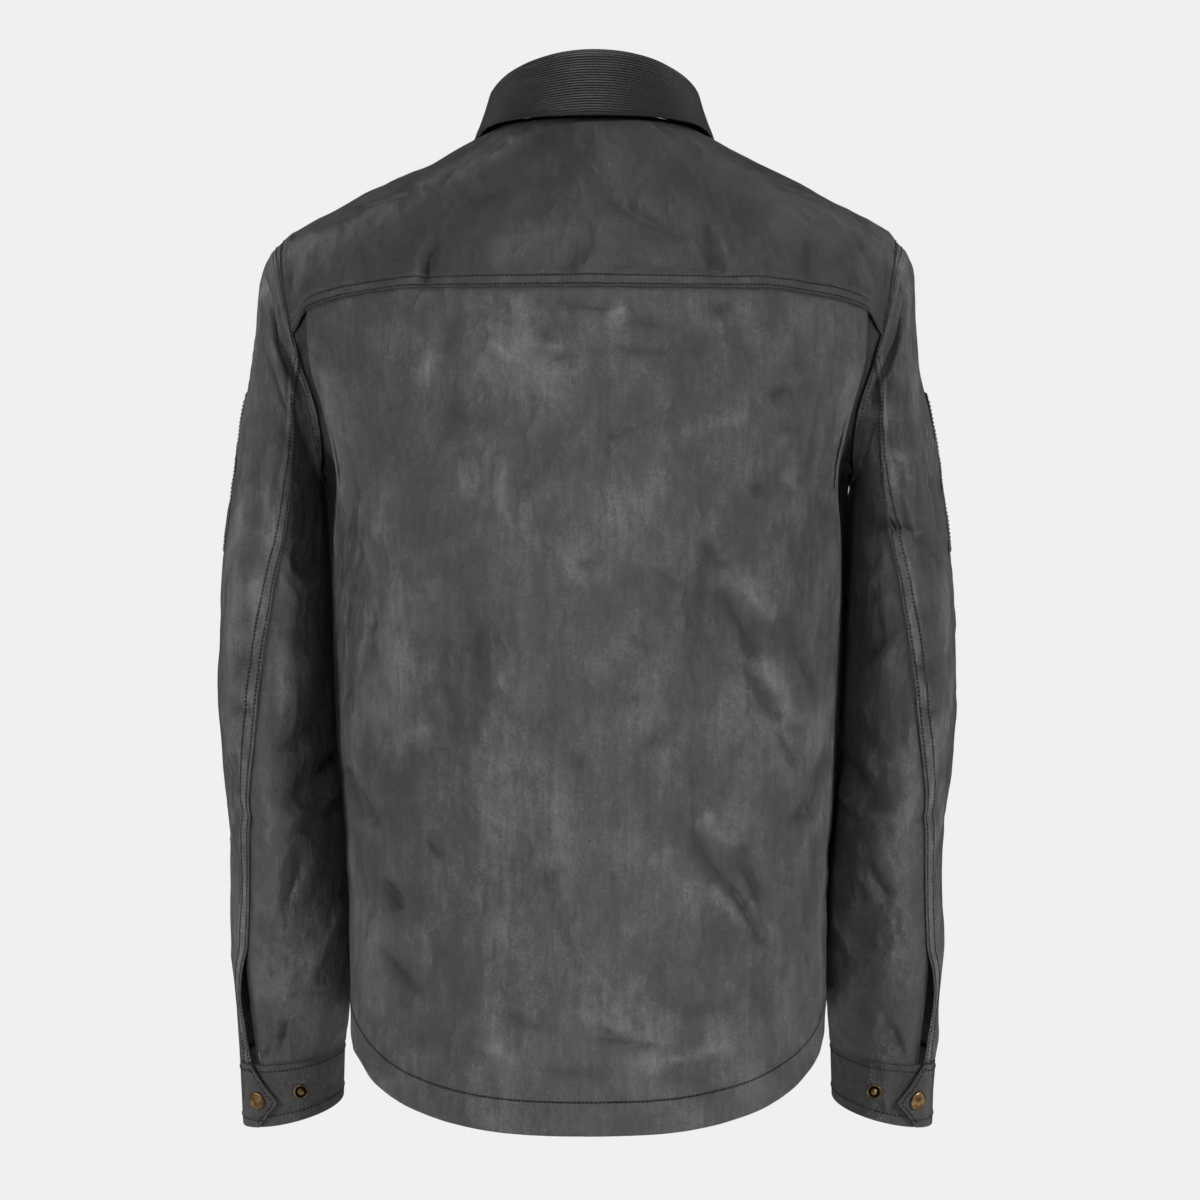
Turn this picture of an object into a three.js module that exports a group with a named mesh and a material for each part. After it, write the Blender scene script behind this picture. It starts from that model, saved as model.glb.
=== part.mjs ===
// A man's waxed cotton jacket, filled out as when worn and hollow, with its neck, hem and cuffs open.
// Millimetres, +Z up. The wearer faces -Y and the wearer's left is +X. The origin is the nape of the neck's level,
// in the middle of the neck opening.
import * as THREE from "three";

// Driving sizes
const CLOTH = 1.5; // waxed cotton with its seam turnings
const CORD = 2.2; // two layers of corduroy
const BAND = 2.4; // cuff and front placket: folded cloth over a stiffener
const SEAM_TRIM = 0.2; // each piece stops this short of the seam line
const HEM_SIDE_Z = -648;
const HEM_BACK_DROP = 76; // how much lower the hem is at the middle of the back
const HEM_FRONT_DROP = 42;
const PLACKET_HALF = 18;
const PLEAT_SINK = 8; // how deep the pleat's under layer lies below the back
const PLEAT_TOP_SINK = 3.4; // and at its top, where it comes up to the yoke seam
const PLEAT_RISE = 0.9; // over this many rings
const PLEAT_TUCK_DEG = 9; // how far it reaches in under the back
const CUFF_HEIGHT = 46;
const CUFF_OUTER_MORE = 3; // its outer side reaches lower
const SNAP_R = 6.8;
const STUD_R = 5.5;

const radians = (degrees) => (degrees * Math.PI) / 180;
const mix = (a, b, share) => a + (b - a) * share;
const power = (value, exponent) => Math.sign(value) * Math.abs(value) ** exponent;

// A table is a list of named columns and a row of numbers for each section.
const table = (columns, rows) =>
  rows.map((row) => Object.fromEntries(columns.map((name, i) => [name, row[i]])));

// Catmull-Rom through four neighbours
function between(a, b, c, d, share) {
  const s2 = share * share;
  const s3 = s2 * share;
  return 0.5 * (2 * b + (c - a) * share + (2 * a - 5 * b + 4 * c - d) * s2 + (3 * b - a - 3 * c + d) * s3);
}

// A row of the table at a place between its rows, counted from 0
function rowAt(rows, place) {
  const last = rows.length - 1;
  const at = Math.min(Math.max(place, 0), last);
  const i = Math.min(Math.floor(at), last - 1);
  const near = [i - 1, i, i + 1, i + 2].map((k) => rows[Math.min(Math.max(k, 0), last)]);
  return Object.fromEntries(Object.keys(rows[0]).map((key) => [key, between(...near.map((r) => r[key]), at - i)]));
}

// A smooth line through [place, value] pairs
function lineAt(pairs, place) {
  const last = pairs.length - 1;
  if (place <= pairs[0][0]) return pairs[0][1];
  if (place >= pairs[last][0]) return pairs[last][1];
  const i = pairs.findIndex((pair) => pair[0] > place) - 1;
  const share = (place - pairs[i][0]) / (pairs[i + 1][0] - pairs[i][0]);
  const near = [i - 1, i, i + 1, i + 2].map((k) => pairs[Math.min(Math.max(k, 0), last)][1]);
  return between(...near, share);
}

// The body's rings, from below the hem to the neck seam. square is the exponent of the ring's outline, 2 for an
// ellipse. Above the armpit a ring rises at the sides, and its side lies in the armhole or on the shoulder.
const RING_COLUMNS = ["halfWidth", "back", "front", "zSide", "zBack", "zFront", "square"];
const BODY = table(RING_COLUMNS, [
  [172, 116, 130, -750, -750, -750, 2.5],
  [172, 118, 132, -650, -650, -650, 2.5],
  [174, 121, 136, -555, -555, -555, 2.5],
  [181, 124, 140, -465, -465, -465, 2.5],
  [185.5, 128, 144, -375, -375, -375, 2.5],
  [189, 132, 147, -305, -305, -305, 2.5],
  [192, 133, 148, -258, -258, -258, 2.5],
  [207, 134, 146, -212, -222, -224, 2.5],
  [226, 132, 141, -165, -186, -190, 2.5],
  [233, 127, 131, -120, -148, -160, 2.5],
  [223, 120, 119, -88, -113, -134, 2.45],
  [193, 112, 107, -67, -80, -116, 2.35],
  [155, 105, 97, -47.5, -53, -104, 2.25],
  [118, 97, 88, -30, -29, -96, 2.15],
  [91, 87, 79, -15.5, -10, -90, 2.05],
  [76, 77, 73, -8, 0, -86, 2],
]);
const ARMPIT = 6;
const SHOULDER_TIP = 10;
const NECK = BODY.length - 1;
const RISE_POWER = 1.6; // how a ring's height runs from its side to its middle

function onRing(ring, angle) {
  const c = Math.cos(radians(angle));
  const s = Math.sin(radians(angle));
  const flat = 2 / ring.square;
  const rise = Math.abs(s) ** RISE_POWER;
  return new THREE.Vector3(
    ring.halfWidth * power(c, flat),
    (s > 0 ? ring.back : ring.front) * power(s, flat),
    mix(ring.zSide, s > 0 ? ring.zBack : ring.zFront, rise),
  );
}

// Angle 0 is the wearer's left side, 90 the middle of the back and -90 the middle of the front.
const body = (angle, ring) => onRing(rowAt(BODY, ring), angle);

// The outward normal of a surface of two numbers, turned by way
function normalOf(surface, a, b, stepA, stepB, way) {
  const along = surface(a + stepA, b).sub(surface(a - stepA, b));
  const up = surface(a, b + stepB).sub(surface(a, b - stepB));
  return along.cross(up).normalize().multiplyScalar(way);
}
const bodyNormal = (angle, ring) => normalOf(body, angle, Math.min(ring, NECK - 0.02), 0.5, 0.02, 1);

// The ring whose height is z, below the armpit
function ringAtHeight(z) {
  let low = 0;
  let high = ARMPIT;
  for (let i = 0; i < 30; i++) {
    const middle = (low + high) / 2;
    if (rowAt(BODY, middle).zSide < z) low = middle;
    else high = middle;
  }
  return low;
}

// Largest folds. x and z are the fold's middle seen from behind, lean its angle from upright, high its height.
const FOLD_COLUMNS = ["x", "z", "lean", "long", "wide", "high"];
const BACK_FOLDS = table(FOLD_COLUMNS, [
  [-70, -545, 28, 150, 17, 3.2],
  [-98, -500, 22, 170, 18, -3],
  [-105, -590, 32, 120, 14, -2.6],
  [-120, -455, 18, 130, 15, 2.6],
  [118, -585, 30, 120, 16, -2.6],
  [132, -560, 26, 110, 15, 2.8],
  [60, -430, 10, 170, 22, 2.2],
  [10, -645, 82, 170, 16, 2.8],
  [-30, -672, 84, 150, 13, -2.6],
  [-40, -152, 80, 120, 12, -2.4],
  [-30, -75, 62, 110, 12, -2.4],
  [-95, -95, 20, 80, 11, -2.6],
  [112, -105, -10, 75, 10, -2.4],
]);
const FRONT_FOLDS = table(FOLD_COLUMNS, [
  [95, -250, 32, 150, 17, 2.8],
  [120, -290, 28, 150, 16, -2.6],
  [-95, -255, -32, 150, 17, 2.8],
  [-118, -296, -28, 150, 16, -2.6],
  [100, -520, 14, 190, 20, 2.8],
  [-104, -545, -12, 170, 20, 2.8],
  [78, -600, 20, 110, 15, -2.4],
  [-82, -590, -24, 120, 15, -2.4],
]);

function foldHeight(folds, x, z) {
  let height = 0;
  for (const fold of folds) {
    const dx = x - fold.x;
    const dz = z - fold.z;
    const lean = radians(fold.lean);
    const along = dz * Math.cos(lean) + dx * Math.sin(lean);
    const across = dx * Math.cos(lean) - dz * Math.sin(lean);
    const end = Math.max(0, 1 - (along / (fold.long / 2)) ** 2);
    height += fold.high * Math.exp(-((across / fold.wide) ** 2)) * end * end;
  }
  return height;
}

// A place on the body's cloth, lifted above the plain form
function onBody(angle, ring, lift = 0) {
  const plain = body(angle, ring);
  const normal = bodyNormal(angle, ring);
  const turned = ((angle % 360) + 360) % 360;
  const folds = turned < 180 ? BACK_FOLDS : FRONT_FOLDS;
  const fold = foldHeight(folds, plain.x, plain.z) * Math.abs(Math.sin(radians(angle))) ** 0.5;
  return { point: plain.addScaledVector(normal, fold + lift), normal };
}

// The armhole, as the body's angle from the side at each ring
const ARMHOLE_DEG = 27;
const ARMHOLE_ROUND = 2.3;
const ARMHOLE_MIDDLE = (ARMPIT + SHOULDER_TIP) / 2;
const ARMHOLE_REACH = (SHOULDER_TIP - ARMPIT) / 2;
function armholeAngle(ring) {
  const from = Math.min(1, Math.abs((ring - ARMHOLE_MIDDLE) / ARMHOLE_REACH));
  return ARMHOLE_DEG * (1 - from ** ARMHOLE_ROUND) ** (1 / ARMHOLE_ROUND);
}

// Seam lines in angle and ring. The left side is written, and the right one mirrors it.
const YOKE_CORNER = 8.3; // ring where the yoke seam meets the back of the armhole
const FRONT_CORNER = 9.5; // and where it meets the front of the armhole
const FRONT_NECK_DEG = -32; // where the yoke meets the neck seam at the front
const FOLD_TOP_DEG = 35; // the pleat's folded edge at the yoke seam
const FOLD_END = 3; // the ring where the folded edge runs into the side seam
const YOKE_SEAM = [
  [armholeAngle(YOKE_CORNER), YOKE_CORNER],
  [FOLD_TOP_DEG, 8.75],
  [45, 9.05],
  [62, 9.42],
  [90, 9.57],
];
const FOLD_TOP = lineAt(YOKE_SEAM, FOLD_TOP_DEG);
const FOLD_EDGE = [
  [FOLD_END, 0],
  [4, 10],
  [5, 18],
  [ARMPIT, 24],
  [7.2, 29],
  [FOLD_TOP, FOLD_TOP_DEG],
];
const hemRing = (angle) => {
  const s = Math.sin(radians(angle));
  const drop = s > 0 ? HEM_BACK_DROP * s ** 0.85 : HEM_FRONT_DROP * Math.abs(s) ** 1.3;
  return ringAtHeight(HEM_SIDE_Z - drop);
};

// A patch between four edges, each a function from 0 to 1 that gives [angle, ring]
function patch(bottom, top, start, end) {
  return (u, v) =>
    [0, 1].map(
      (k) =>
        mix(bottom(u)[k], top(u)[k], v) +
        mix(start(v)[k], end(v)[k], u) -
        mix(mix(bottom(0)[k], bottom(1)[k], u), mix(top(0)[k], top(1)[k], u), v),
    );
}

// An edge of several parts, each a function from 0 to 1, with the shares of the edge at which they meet
function path(parts, shares) {
  return (t) => {
    const i = Math.min(Math.max(shares.findIndex((s) => s >= t) - 1, 0), shares.length - 2);
    return parts[i]((t - shares[i]) / (shares[i + 1] - shares[i]));
  };
}

const steps = (count, from = 0, to = 1) =>
  Array.from({ length: count + 1 }, (_, i) => mix(from, to, i / count));

const UNCUT = [0, 0, 0, 0];

// A wall of cloth. place(u, v) gives a point of the outer face and its outward normal; trims shorten the four
// edges, in the order start, end, bottom, top.
function wall(us, vs, place, thickness, trims = [SEAM_TRIM, SEAM_TRIM, SEAM_TRIM, SEAM_TRIM]) {
  const outer = us.map((u) => vs.map((v) => place(u, v)));
  const lastU = us.length - 1;
  const lastV = vs.length - 1;
  const points = outer.map((column) => column.map((p) => p.point.clone()));
  const pull = (i, j, k, l, length) => {
    const way = outer[k][l].point.clone().sub(outer[i][j].point).normalize();
    points[i][j].addScaledVector(way, length);
  };
  for (let j = 0; j <= lastV; j++) {
    pull(0, j, 1, j, trims[0]);
    pull(lastU, j, lastU - 1, j, trims[1]);
  }
  for (let i = 0; i <= lastU; i++) {
    pull(i, 0, i, 1, trims[2]);
    pull(i, lastV, i, lastV - 1, trims[3]);
  }
  const positions = [];
  for (const side of [0, thickness])
    for (let i = 0; i <= lastU; i++)
      for (let j = 0; j <= lastV; j++)
        positions.push(...points[i][j].clone().addScaledVector(outer[i][j].normal, -side).toArray());
  const index = [];
  const outside = (i, j) => i * (lastV + 1) + j;
  const inside = (i, j) => outside(i, j) + (lastU + 1) * (lastV + 1);
  const quad = (a, b, c, d) => index.push(a, b, c, a, c, d);
  for (let i = 0; i < lastU; i++)
    for (let j = 0; j < lastV; j++) {
      quad(outside(i, j), outside(i + 1, j), outside(i + 1, j + 1), outside(i, j + 1));
      quad(inside(i, j), inside(i, j + 1), inside(i + 1, j + 1), inside(i + 1, j));
    }
  for (let i = 0; i < lastU; i++) {
    quad(outside(i + 1, 0), outside(i, 0), inside(i, 0), inside(i + 1, 0));
    quad(outside(i, lastV), outside(i + 1, lastV), inside(i + 1, lastV), inside(i, lastV));
  }
  for (let j = 0; j < lastV; j++) {
    quad(outside(0, j), outside(0, j + 1), inside(0, j + 1), inside(0, j));
    quad(outside(lastU, j + 1), outside(lastU, j), inside(lastU, j), inside(lastU, j + 1));
  }
  return solid(positions, index);
}

// The whole garment hangs a little askew: its shoulders and collar lean towards the wearer's right.
const ASKEW = 5;
const ASKEW_FROM_Z = -115;
const ASKEW_TO_Z = -45;
function askew(z) {
  const share = Math.min(1, Math.max(0, (z - ASKEW_FROM_Z) / (ASKEW_TO_Z - ASKEW_FROM_Z)));
  return -ASKEW * share * share * (3 - 2 * share);
}

// A closed geometry whose faces point out
function solid(positions, index) {
  for (let k = 0; k < positions.length; k += 3) positions[k] += askew(positions[k + 2]);
  let volume = 0;
  const corner = (k) => new THREE.Vector3().fromArray(positions, 3 * index[k]);
  for (let k = 0; k < index.length; k += 3) volume += corner(k).dot(corner(k + 1).cross(corner(k + 2)));
  if (volume < 0) index.reverse();
  return new THREE.BufferGeometry()
    .setAttribute("position", new THREE.Float32BufferAttribute(positions, 3))
    .setIndex(index);
}

const mirror = ({ point, normal }) => ({
  point: point.clone().multiply(new THREE.Vector3(-1, 1, 1)),
  normal: normal.clone().multiply(new THREE.Vector3(-1, 1, 1)),
});

// Back: one piece from the yoke seam to the hem. Its side edges are the pleats' folded edges, and lower down the
// side seams. half runs from the middle, 0, to the side, 1.
const BACK_BEND = 0.43; // share of the edge's length where the folded edge meets the side seam
const foldEdge = (t) => {
  const ring = mix(FOLD_END, FOLD_TOP, t);
  return [lineAt(FOLD_EDGE, ring), ring];
};
const backHalf = patch(
  (u) => [mix(90, 0, u), hemRing(mix(90, 0, u))],
  (u) => [mix(90, FOLD_TOP_DEG, u), lineAt(YOKE_SEAM, mix(90, FOLD_TOP_DEG, u))],
  (v) => [90, mix(hemRing(90), YOKE_SEAM[4][1], v)],
  path([(t) => [0, mix(hemRing(0), FOLD_END, t)], foldEdge], [0, BACK_BEND, 1]),
);
const FOLD_PUFF = 1.2; // the folded edge stands a little proud
function backPlace(u, v) {
  const [angle, ring] = backHalf(Math.abs(u), v);
  const edge = Math.max(0, (Math.abs(u) - 0.9) / 0.1) * Math.max(0, (v - BACK_BEND) / (1 - BACK_BEND)) ** 0.5;
  return onBody(u < 0 ? 180 - angle : angle, ring, FOLD_PUFF * edge);
}
const BACK_STEPS = 9; // from the middle to a side, also along the yoke's seam
const backShape = () => wall(steps(2 * BACK_STEPS, -1, 1), steps(24), backPlace, CLOTH);

// Pleat inlay: the under layer of the action pleat, from the armhole and side seam in under the folded edge
const INLAY_FROM = FOLD_END + 0.15;
const inlayOuter = (ring) => [ring > ARMPIT ? armholeAngle(ring) : 0, ring];
const inlayInner = (ring) => [lineAt(FOLD_EDGE, ring) + PLEAT_TUCK_DEG, ring];
const inlay = patch(
  (u) => [mix(0, inlayInner(INLAY_FROM)[0], u), INLAY_FROM],
  (u) => {
    const angle = mix(armholeAngle(YOKE_CORNER), FOLD_TOP_DEG + PLEAT_TUCK_DEG, u);
    return [angle, lineAt(YOKE_SEAM, angle) - 0.02];
  },
  (v) => inlayOuter(mix(INLAY_FROM, YOKE_CORNER - 0.02, v)),
  (v) => inlayInner(mix(INLAY_FROM, lineAt(YOKE_SEAM, FOLD_TOP_DEG + PLEAT_TUCK_DEG) - 0.02, v)),
);
function inlayPlace(u, v) {
  const [angle, ring] = inlay(u, v);
  const outer = inlayOuter(Math.min(ring, YOKE_CORNER))[0];
  const shown = Math.max(lineAt(FOLD_EDGE, ring) - outer, 2);
  const risen = within(1 - (lineAt(YOKE_SEAM, angle) - ring) / PLEAT_RISE, 0, 1);
  const sink = mix(PLEAT_SINK, PLEAT_TOP_SINK, risen);
  return onBody(angle, ring, -sink * within((angle - outer) / shown, 0, 1));
}

// Yoke: from the back seam over both shoulders to the front seams. u runs round from the wearer's left front.
const YOKE_SHARES = [0, 0.1, 0.27, 0.36, 0.5];
const yokeOuter = path(
  [
    (t) => {
      const ring = mix(FRONT_CORNER, SHOULDER_TIP, t ** 0.5);
      return [-armholeAngle(ring), ring];
    },
    (t) => {
      const ring = mix(SHOULDER_TIP, YOKE_CORNER, t * t);
      return [armholeAngle(ring), ring];
    },
    (t) => {
      const angle = mix(armholeAngle(YOKE_CORNER), FOLD_TOP_DEG, t);
      return [angle, lineAt(YOKE_SEAM, angle)];
    },
    (t) => [mix(FOLD_TOP_DEG, 90, t), lineAt(YOKE_SEAM, mix(FOLD_TOP_DEG, 90, t))],
  ],
  YOKE_SHARES,
);
const YOKE_NECK = YOKE_SHARES.map((share, i) => [share, [FRONT_NECK_DEG, -6, 46, 60, 90][i]]);
function yokePlace(u, v) {
  const half = u <= 0.5 ? u : 1 - u;
  const [outerAngle, outerRing] = yokeOuter(half);
  const neckAngle = lineAt(YOKE_NECK, half);
  const angle = mix(outerAngle, neckAngle, v);
  return onBody(u <= 0.5 ? angle : 180 - angle, mix(outerRing, NECK, v));
}
const yokeStations = () => {
  const counts = [4, 6, 2, BACK_STEPS];
  const left = counts.flatMap((count, i) => steps(count, YOKE_SHARES[i], YOKE_SHARES[i + 1]).slice(0, -1));
  return [...left, 0.5, ...left.map((u) => 1 - u).reverse()];
};
const YOKE_STEPS = 7; // from the armhole to the neck, also along the fronts' seams
const yokeShape = () => wall(yokeStations(), steps(YOKE_STEPS), yokePlace, CLOTH);

// Fronts: each from the middle of the front to the side seam and the armhole
const FRONT_BEND = 0.68; // share of the edges' length that lies below the armpit
const NECK_SHARE = 0.5; // share of the top edge that is neck seam; the rest is yoke seam
const MIDDLE_BEND = ARMPIT + 0.5;
const middleEdge = path(
  [(t) => [-90, mix(hemRing(-90), MIDDLE_BEND, t)], (t) => [-90, mix(MIDDLE_BEND, NECK, t)]],
  [0, FRONT_BEND, 1],
);
const frontHalf = patch(
  (u) => [mix(-90, 0, u), hemRing(mix(-90, 0, u))],
  path(
    [
      (t) => [mix(-90, FRONT_NECK_DEG, t), NECK],
      (t) => [mix(FRONT_NECK_DEG, -armholeAngle(FRONT_CORNER), t), mix(NECK, FRONT_CORNER, t)],
    ],
    [0, NECK_SHARE, 1],
  ),
  middleEdge,
  path(
    [
      (t) => [0, mix(hemRing(0), ARMPIT, t)],
      (t) => {
        const ring = mix(ARMPIT, FRONT_CORNER, t ** 1.5);
        return [-armholeAngle(ring), ring];
      },
    ],
    [0, FRONT_BEND, 1],
  ),
);
function frontPlace(u, v) {
  const [angle, ring] = frontHalf(u, v);
  return onBody(angle, ring);
}
const frontStations = [...steps(4, 0, NECK_SHARE).slice(0, -1), ...steps(YOKE_STEPS, NECK_SHARE, 1)];
const frontRows = [...steps(13, 0, FRONT_BEND).slice(0, -1), ...steps(8, FRONT_BEND, 1)];
const frontShape = (way) => wall(frontStations, frontRows, way(frontPlace), CLOTH);

// Placket: a strip of the fronts' points, moved out, down the middle of the front
const angleAtWidth = (ring, x) =>
  (Math.acos((Math.abs(x) / ring.halfWidth) ** (ring.square / 2)) * 180) / Math.PI;
function placketPlace(u, v) {
  const lift = BAND + mix(0.5, 1.9, Math.max(0, v - 0.88) / 0.12); // the fronts are rounder near the neck
  const ring = middleEdge(v)[1];
  const x = mix(-PLACKET_HALF, PLACKET_HALF, u);
  const turn = angleAtWidth(rowAt(BODY, ring), x);
  return onBody(x < 0 ? -180 + turn : -turn, ring, lift);
}

// Collar stand and leaf. The rings are those of the body, and the leaf's edge lies over the shoulders.
const COLLAR = table(RING_COLUMNS, [
  [76, 77, 73, -7.2, 0.8, -85.2, 2],
  [68.5, 76, 70, 18, 37, -55, 2],
]);
const ROLL = table(RING_COLUMNS, [
  [68.5, 76, 70, 18.5, 37.6, -54.5, 2],
  [69.7, 77.4, 71.4, 23, 42.4, -50, 2],
  [73, 81, 75, 24, 43.6, -49, 2],
  [75.8, 84, 78.5, 20, 39.5, -53, 2],
]);
const STAND_END_DEG = 179; // from the middle of the back to the stand's end at the front
const LEAF_FOLD_DEG = 176;
const LEAF_POINT_DEG = 157; // the leaf's edge stops further back, which makes the collar's point
const LEAF_EDGE = table(
  ["ring", "lift"],
  [
    [13.95, 11.5],
    [14.1, 7.5],
    [14.4, 3.4],
    [13.7, 4],
    [12.9, 4.5],
  ],
); // rows from the middle of the back to the middle of the front
const collarAngle = (u, end) => 90 - u * end; // u from -1, the wearer's right, to 1
const ringSurface = (rows) => (angle, place) => onRing(rowAt(rows, place), angle);
function standPlace(u, v) {
  const angle = collarAngle(u, STAND_END_DEG);
  const surface = ringSurface(COLLAR);
  return {
    point: surface(angle, v),
    normal: normalOf(surface, angle, Math.min(Math.max(v, 0.02), 0.98), 0.5, 0.02, 1),
  };
}
const ROLL_SHARE = 0.24;
function leafPoint(u, v) {
  const angle = collarAngle(u, mix(LEAF_FOLD_DEG, LEAF_POINT_DEG, Math.max(0, v) ** 1.2));
  const roll = ringSurface(ROLL)(angle, Math.min(1, v / ROLL_SHARE) * (ROLL.length - 1));
  if (v <= ROLL_SHARE) return roll;
  const edge = rowAt(LEAF_EDGE, Math.abs(u) * (LEAF_EDGE.length - 1));
  const low = onBody(angle, edge.ring, edge.lift).point;
  const share = (v - ROLL_SHARE) / (1 - ROLL_SHARE);
  return roll.lerp(low, share);
}
const within = (value, low, high) => Math.min(Math.max(value, low), high);
function leafPlace(u, v) {
  return {
    point: leafPoint(u, v),
    normal: normalOf(leafPoint, within(u, -0.99, 0.99), within(v, 0.02, 0.98), 0.01, 0.02, 1),
  };
}

// Sleeve rings. Each one is given by its outer and inner point, its depth to front and back, how much lower its
// back is than its middle, because the forearm leans forwards, and how far its inner side is swung forwards, beside
// the body. Ring 0 is the armhole seam.
const SLEEVE = table(["outX", "outZ", "inX", "inZ", "y", "deep", "drop", "square", "swing"], [
  [223, -88, 192.5, -258, 0, 70, 0, 2.2, 0],
  [235.5, -106, 193.3, -262.5, 1, 75.5, 2, 2.2, 6],
  [237.5, -135, 193.2, -267.5, 2, 77.5, 4, 2.2, 14],
  [241.5, -172, 192, -276, 3, 78.5, 5, 2.2, 26],
  [250, -218, 190.1, -292, 4, 78.5, 4, 2.2, 34],
  [258.5, -278, 188.4, -322, 5, 76.5, 2, 2.2, 38],
  [265.5, -340, 186.7, -362, 7, 73.5, 0, 2.2, 38],
  [268.5, -400, 184.9, -408, 9, 70.5, 0, 2.2, 36],
  [266.5, -445, 182.8, -448, 10, 67.5, 1, 2.2, 34],
  [262, -488, 180.6, -484, 8, 63.5, 4, 2.2, 30],
  [259, -522, 177.8, -514, 2, 60.5, 7, 2.2, 22],
  [260, -565, 174.7, -554, -10, 55.5, 8, 2.2, 12],
  [261.5, -608, 173.9, -596, -25, 50.5, 8, 2.2, 4],
  [259, -650, 177, -640, -40, 45.5, 8, 2.2, 0],
  [258.2, -685, 179.5, -673.5, -50, 42.5, 7.5, 2.1, 0],
]);
const WRIST = SLEEVE.length - 1;
const HEAD_LIFT = 0.5; // the sleeve's head stands this far out of the armhole
const ARMPIT_LIFT = 1.2; // and further out in the armpit

function armholePoint(angle) {
  const c = power(Math.cos(radians(angle)), 2 / ARMHOLE_ROUND);
  const s = power(Math.sin(radians(angle)), 2 / ARMHOLE_ROUND);
  const ring = ARMHOLE_MIDDLE + ARMHOLE_REACH * c;
  return onBody(ARMHOLE_DEG * s, ring, HEAD_LIFT + (ARMPIT_LIFT * (1 - c)) / 2).point;
}
function onSleeveRing(row, angle, far = 0) {
  const flat = 2 / row.square;
  const c = power(Math.cos(radians(angle)), flat);
  const s = power(Math.sin(radians(angle)), flat);
  return new THREE.Vector3(
    mix(row.inX - far, row.outX + far, (1 + c) / 2),
    row.y + (row.deep + far) * s - row.swing * ((1 - c) / 2) ** 2,
    mix(row.inZ, row.outZ, (1 + c) / 2) - row.drop * s,
  );
}

// Angle 0 is the sleeve's outside, 90 its back, 180 the side towards the body and 270 its front.
function sleeve(angle, ring) {
  const i = Math.min(Math.max(Math.floor(ring), 0), WRIST - 1);
  const near = [i - 1, i, i + 1, i + 2].map((k) => {
    const at = Math.min(Math.max(k, 0), WRIST);
    return at === 0 ? armholePoint(angle) : onSleeveRing(SLEEVE[at], angle);
  });
  const along = (key) => between(...near.map((p) => p[key]), ring - i);
  return new THREE.Vector3(along("x"), along("y"), along("z"));
}
const sleeveNormal = (angle, ring) =>
  normalOf(sleeve, angle, Math.min(Math.max(ring, 0.03), WRIST - 0.03), 1.5, 0.03, -1);

// Largest folds of a sleeve, each from one place to another in angle and ring
const SLEEVE_FOLDS = table(["angle", "ring", "toAngle", "toRing", "wide", "high"], [
  [186, 8.1, 93, 9.2, 12, -7.5],
  [172, 8.95, 84, 9.5, 7, 4.5],
  [158, 9.45, 96, 9.8, 8, -3.5],
  [20, 9, 76, 9.5, 8, -3],
  [130, 9.75, 102, 11, 11, 2.5],
  [125, 5, 84, 5.9, 11, -3],
  [150, 6.6, 96, 7.3, 12, 2.5],
  [200, 8.6, 275, 9.4, 11, -5],
  [205, 7.9, 262, 8.5, 11, 3.5],
  [84, 12.9, 70, 13.7, 8, 2.2],
]);
const ARC_MM = 1.05; // millimetres of cloth to one degree round the sleeve
const RING_MM = 42; // and from ring to ring along it

// The deep fold below the armhole seam, as its ring at each angle; the front's is the mirrored one, less deep.
const HEAD_FOLD = { deep: 6.5, wide: 0.24, frontShare: 0.6, start: 8, end: 130, fade: 25 };
const HEAD_FOLD_LINE = [
  [12, 0.95],
  [36, 1.12],
  [59, 1.05],
  [81, 0.8],
  [98, 0.42],
  [120, 0.3],
];
function headFold(angle, ring) {
  const back = angle <= 180 ? angle : 360 - angle;
  const { start, end, fade } = HEAD_FOLD;
  const ends = within((back - start) / fade, 0, 1) * within((end - back) / fade, 0, 1);
  const across = (ring - lineAt(HEAD_FOLD_LINE, back)) / HEAD_FOLD.wide;
  return -HEAD_FOLD.deep * (angle <= 180 ? 1 : HEAD_FOLD.frontShare) * ends * Math.exp(-across * across);
}
function sleeveFold(angle, ring) {
  const turned = ((angle % 360) + 360) % 360;
  let height = headFold(turned, ring);
  for (const fold of SLEEVE_FOLDS) {
    const run = [(fold.toAngle - fold.angle) * ARC_MM, (fold.toRing - fold.ring) * RING_MM];
    const away = [(turned - fold.angle) * ARC_MM, (ring - fold.ring) * RING_MM];
    const share = (away[0] * run[0] + away[1] * run[1]) / (run[0] ** 2 + run[1] ** 2);
    const across = (away[0] * run[1] - away[1] * run[0]) / Math.hypot(...run);
    const end = Math.max(0, 1 - (2 * share - 1) ** 2);
    height += fold.high * Math.exp(-((across / fold.wide) ** 2)) * Math.sqrt(end);
  }
  return height * Math.max(0, Math.min(1, ring, (WRIST - ring) * 2));
}
function onSleeve(angle, ring, lift = 0) {
  const normal = sleeveNormal(angle, ring);
  return { point: sleeve(angle, ring).addScaledVector(normal, sleeveFold(angle, ring) + lift), normal };
}

// The back seam parts the top sleeve from the under sleeve, and opens into the slit above the cuff.
const BACK_SEAM = [
  [0, 92],
  [1, 103],
  [2, 105.5],
  [4, 104.5],
  [5, 99.5],
  [6, 91],
  [7, 83],
  [8, 74.5],
  [9, 62],
  [10, 56.5],
  [11, 54],
  [12, 51],
  [13, 51],
  [WRIST, 54],
];
const INNER_SEAM = [
  [0, 248],
  [6, 236],
  [WRIST, 222],
];
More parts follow.
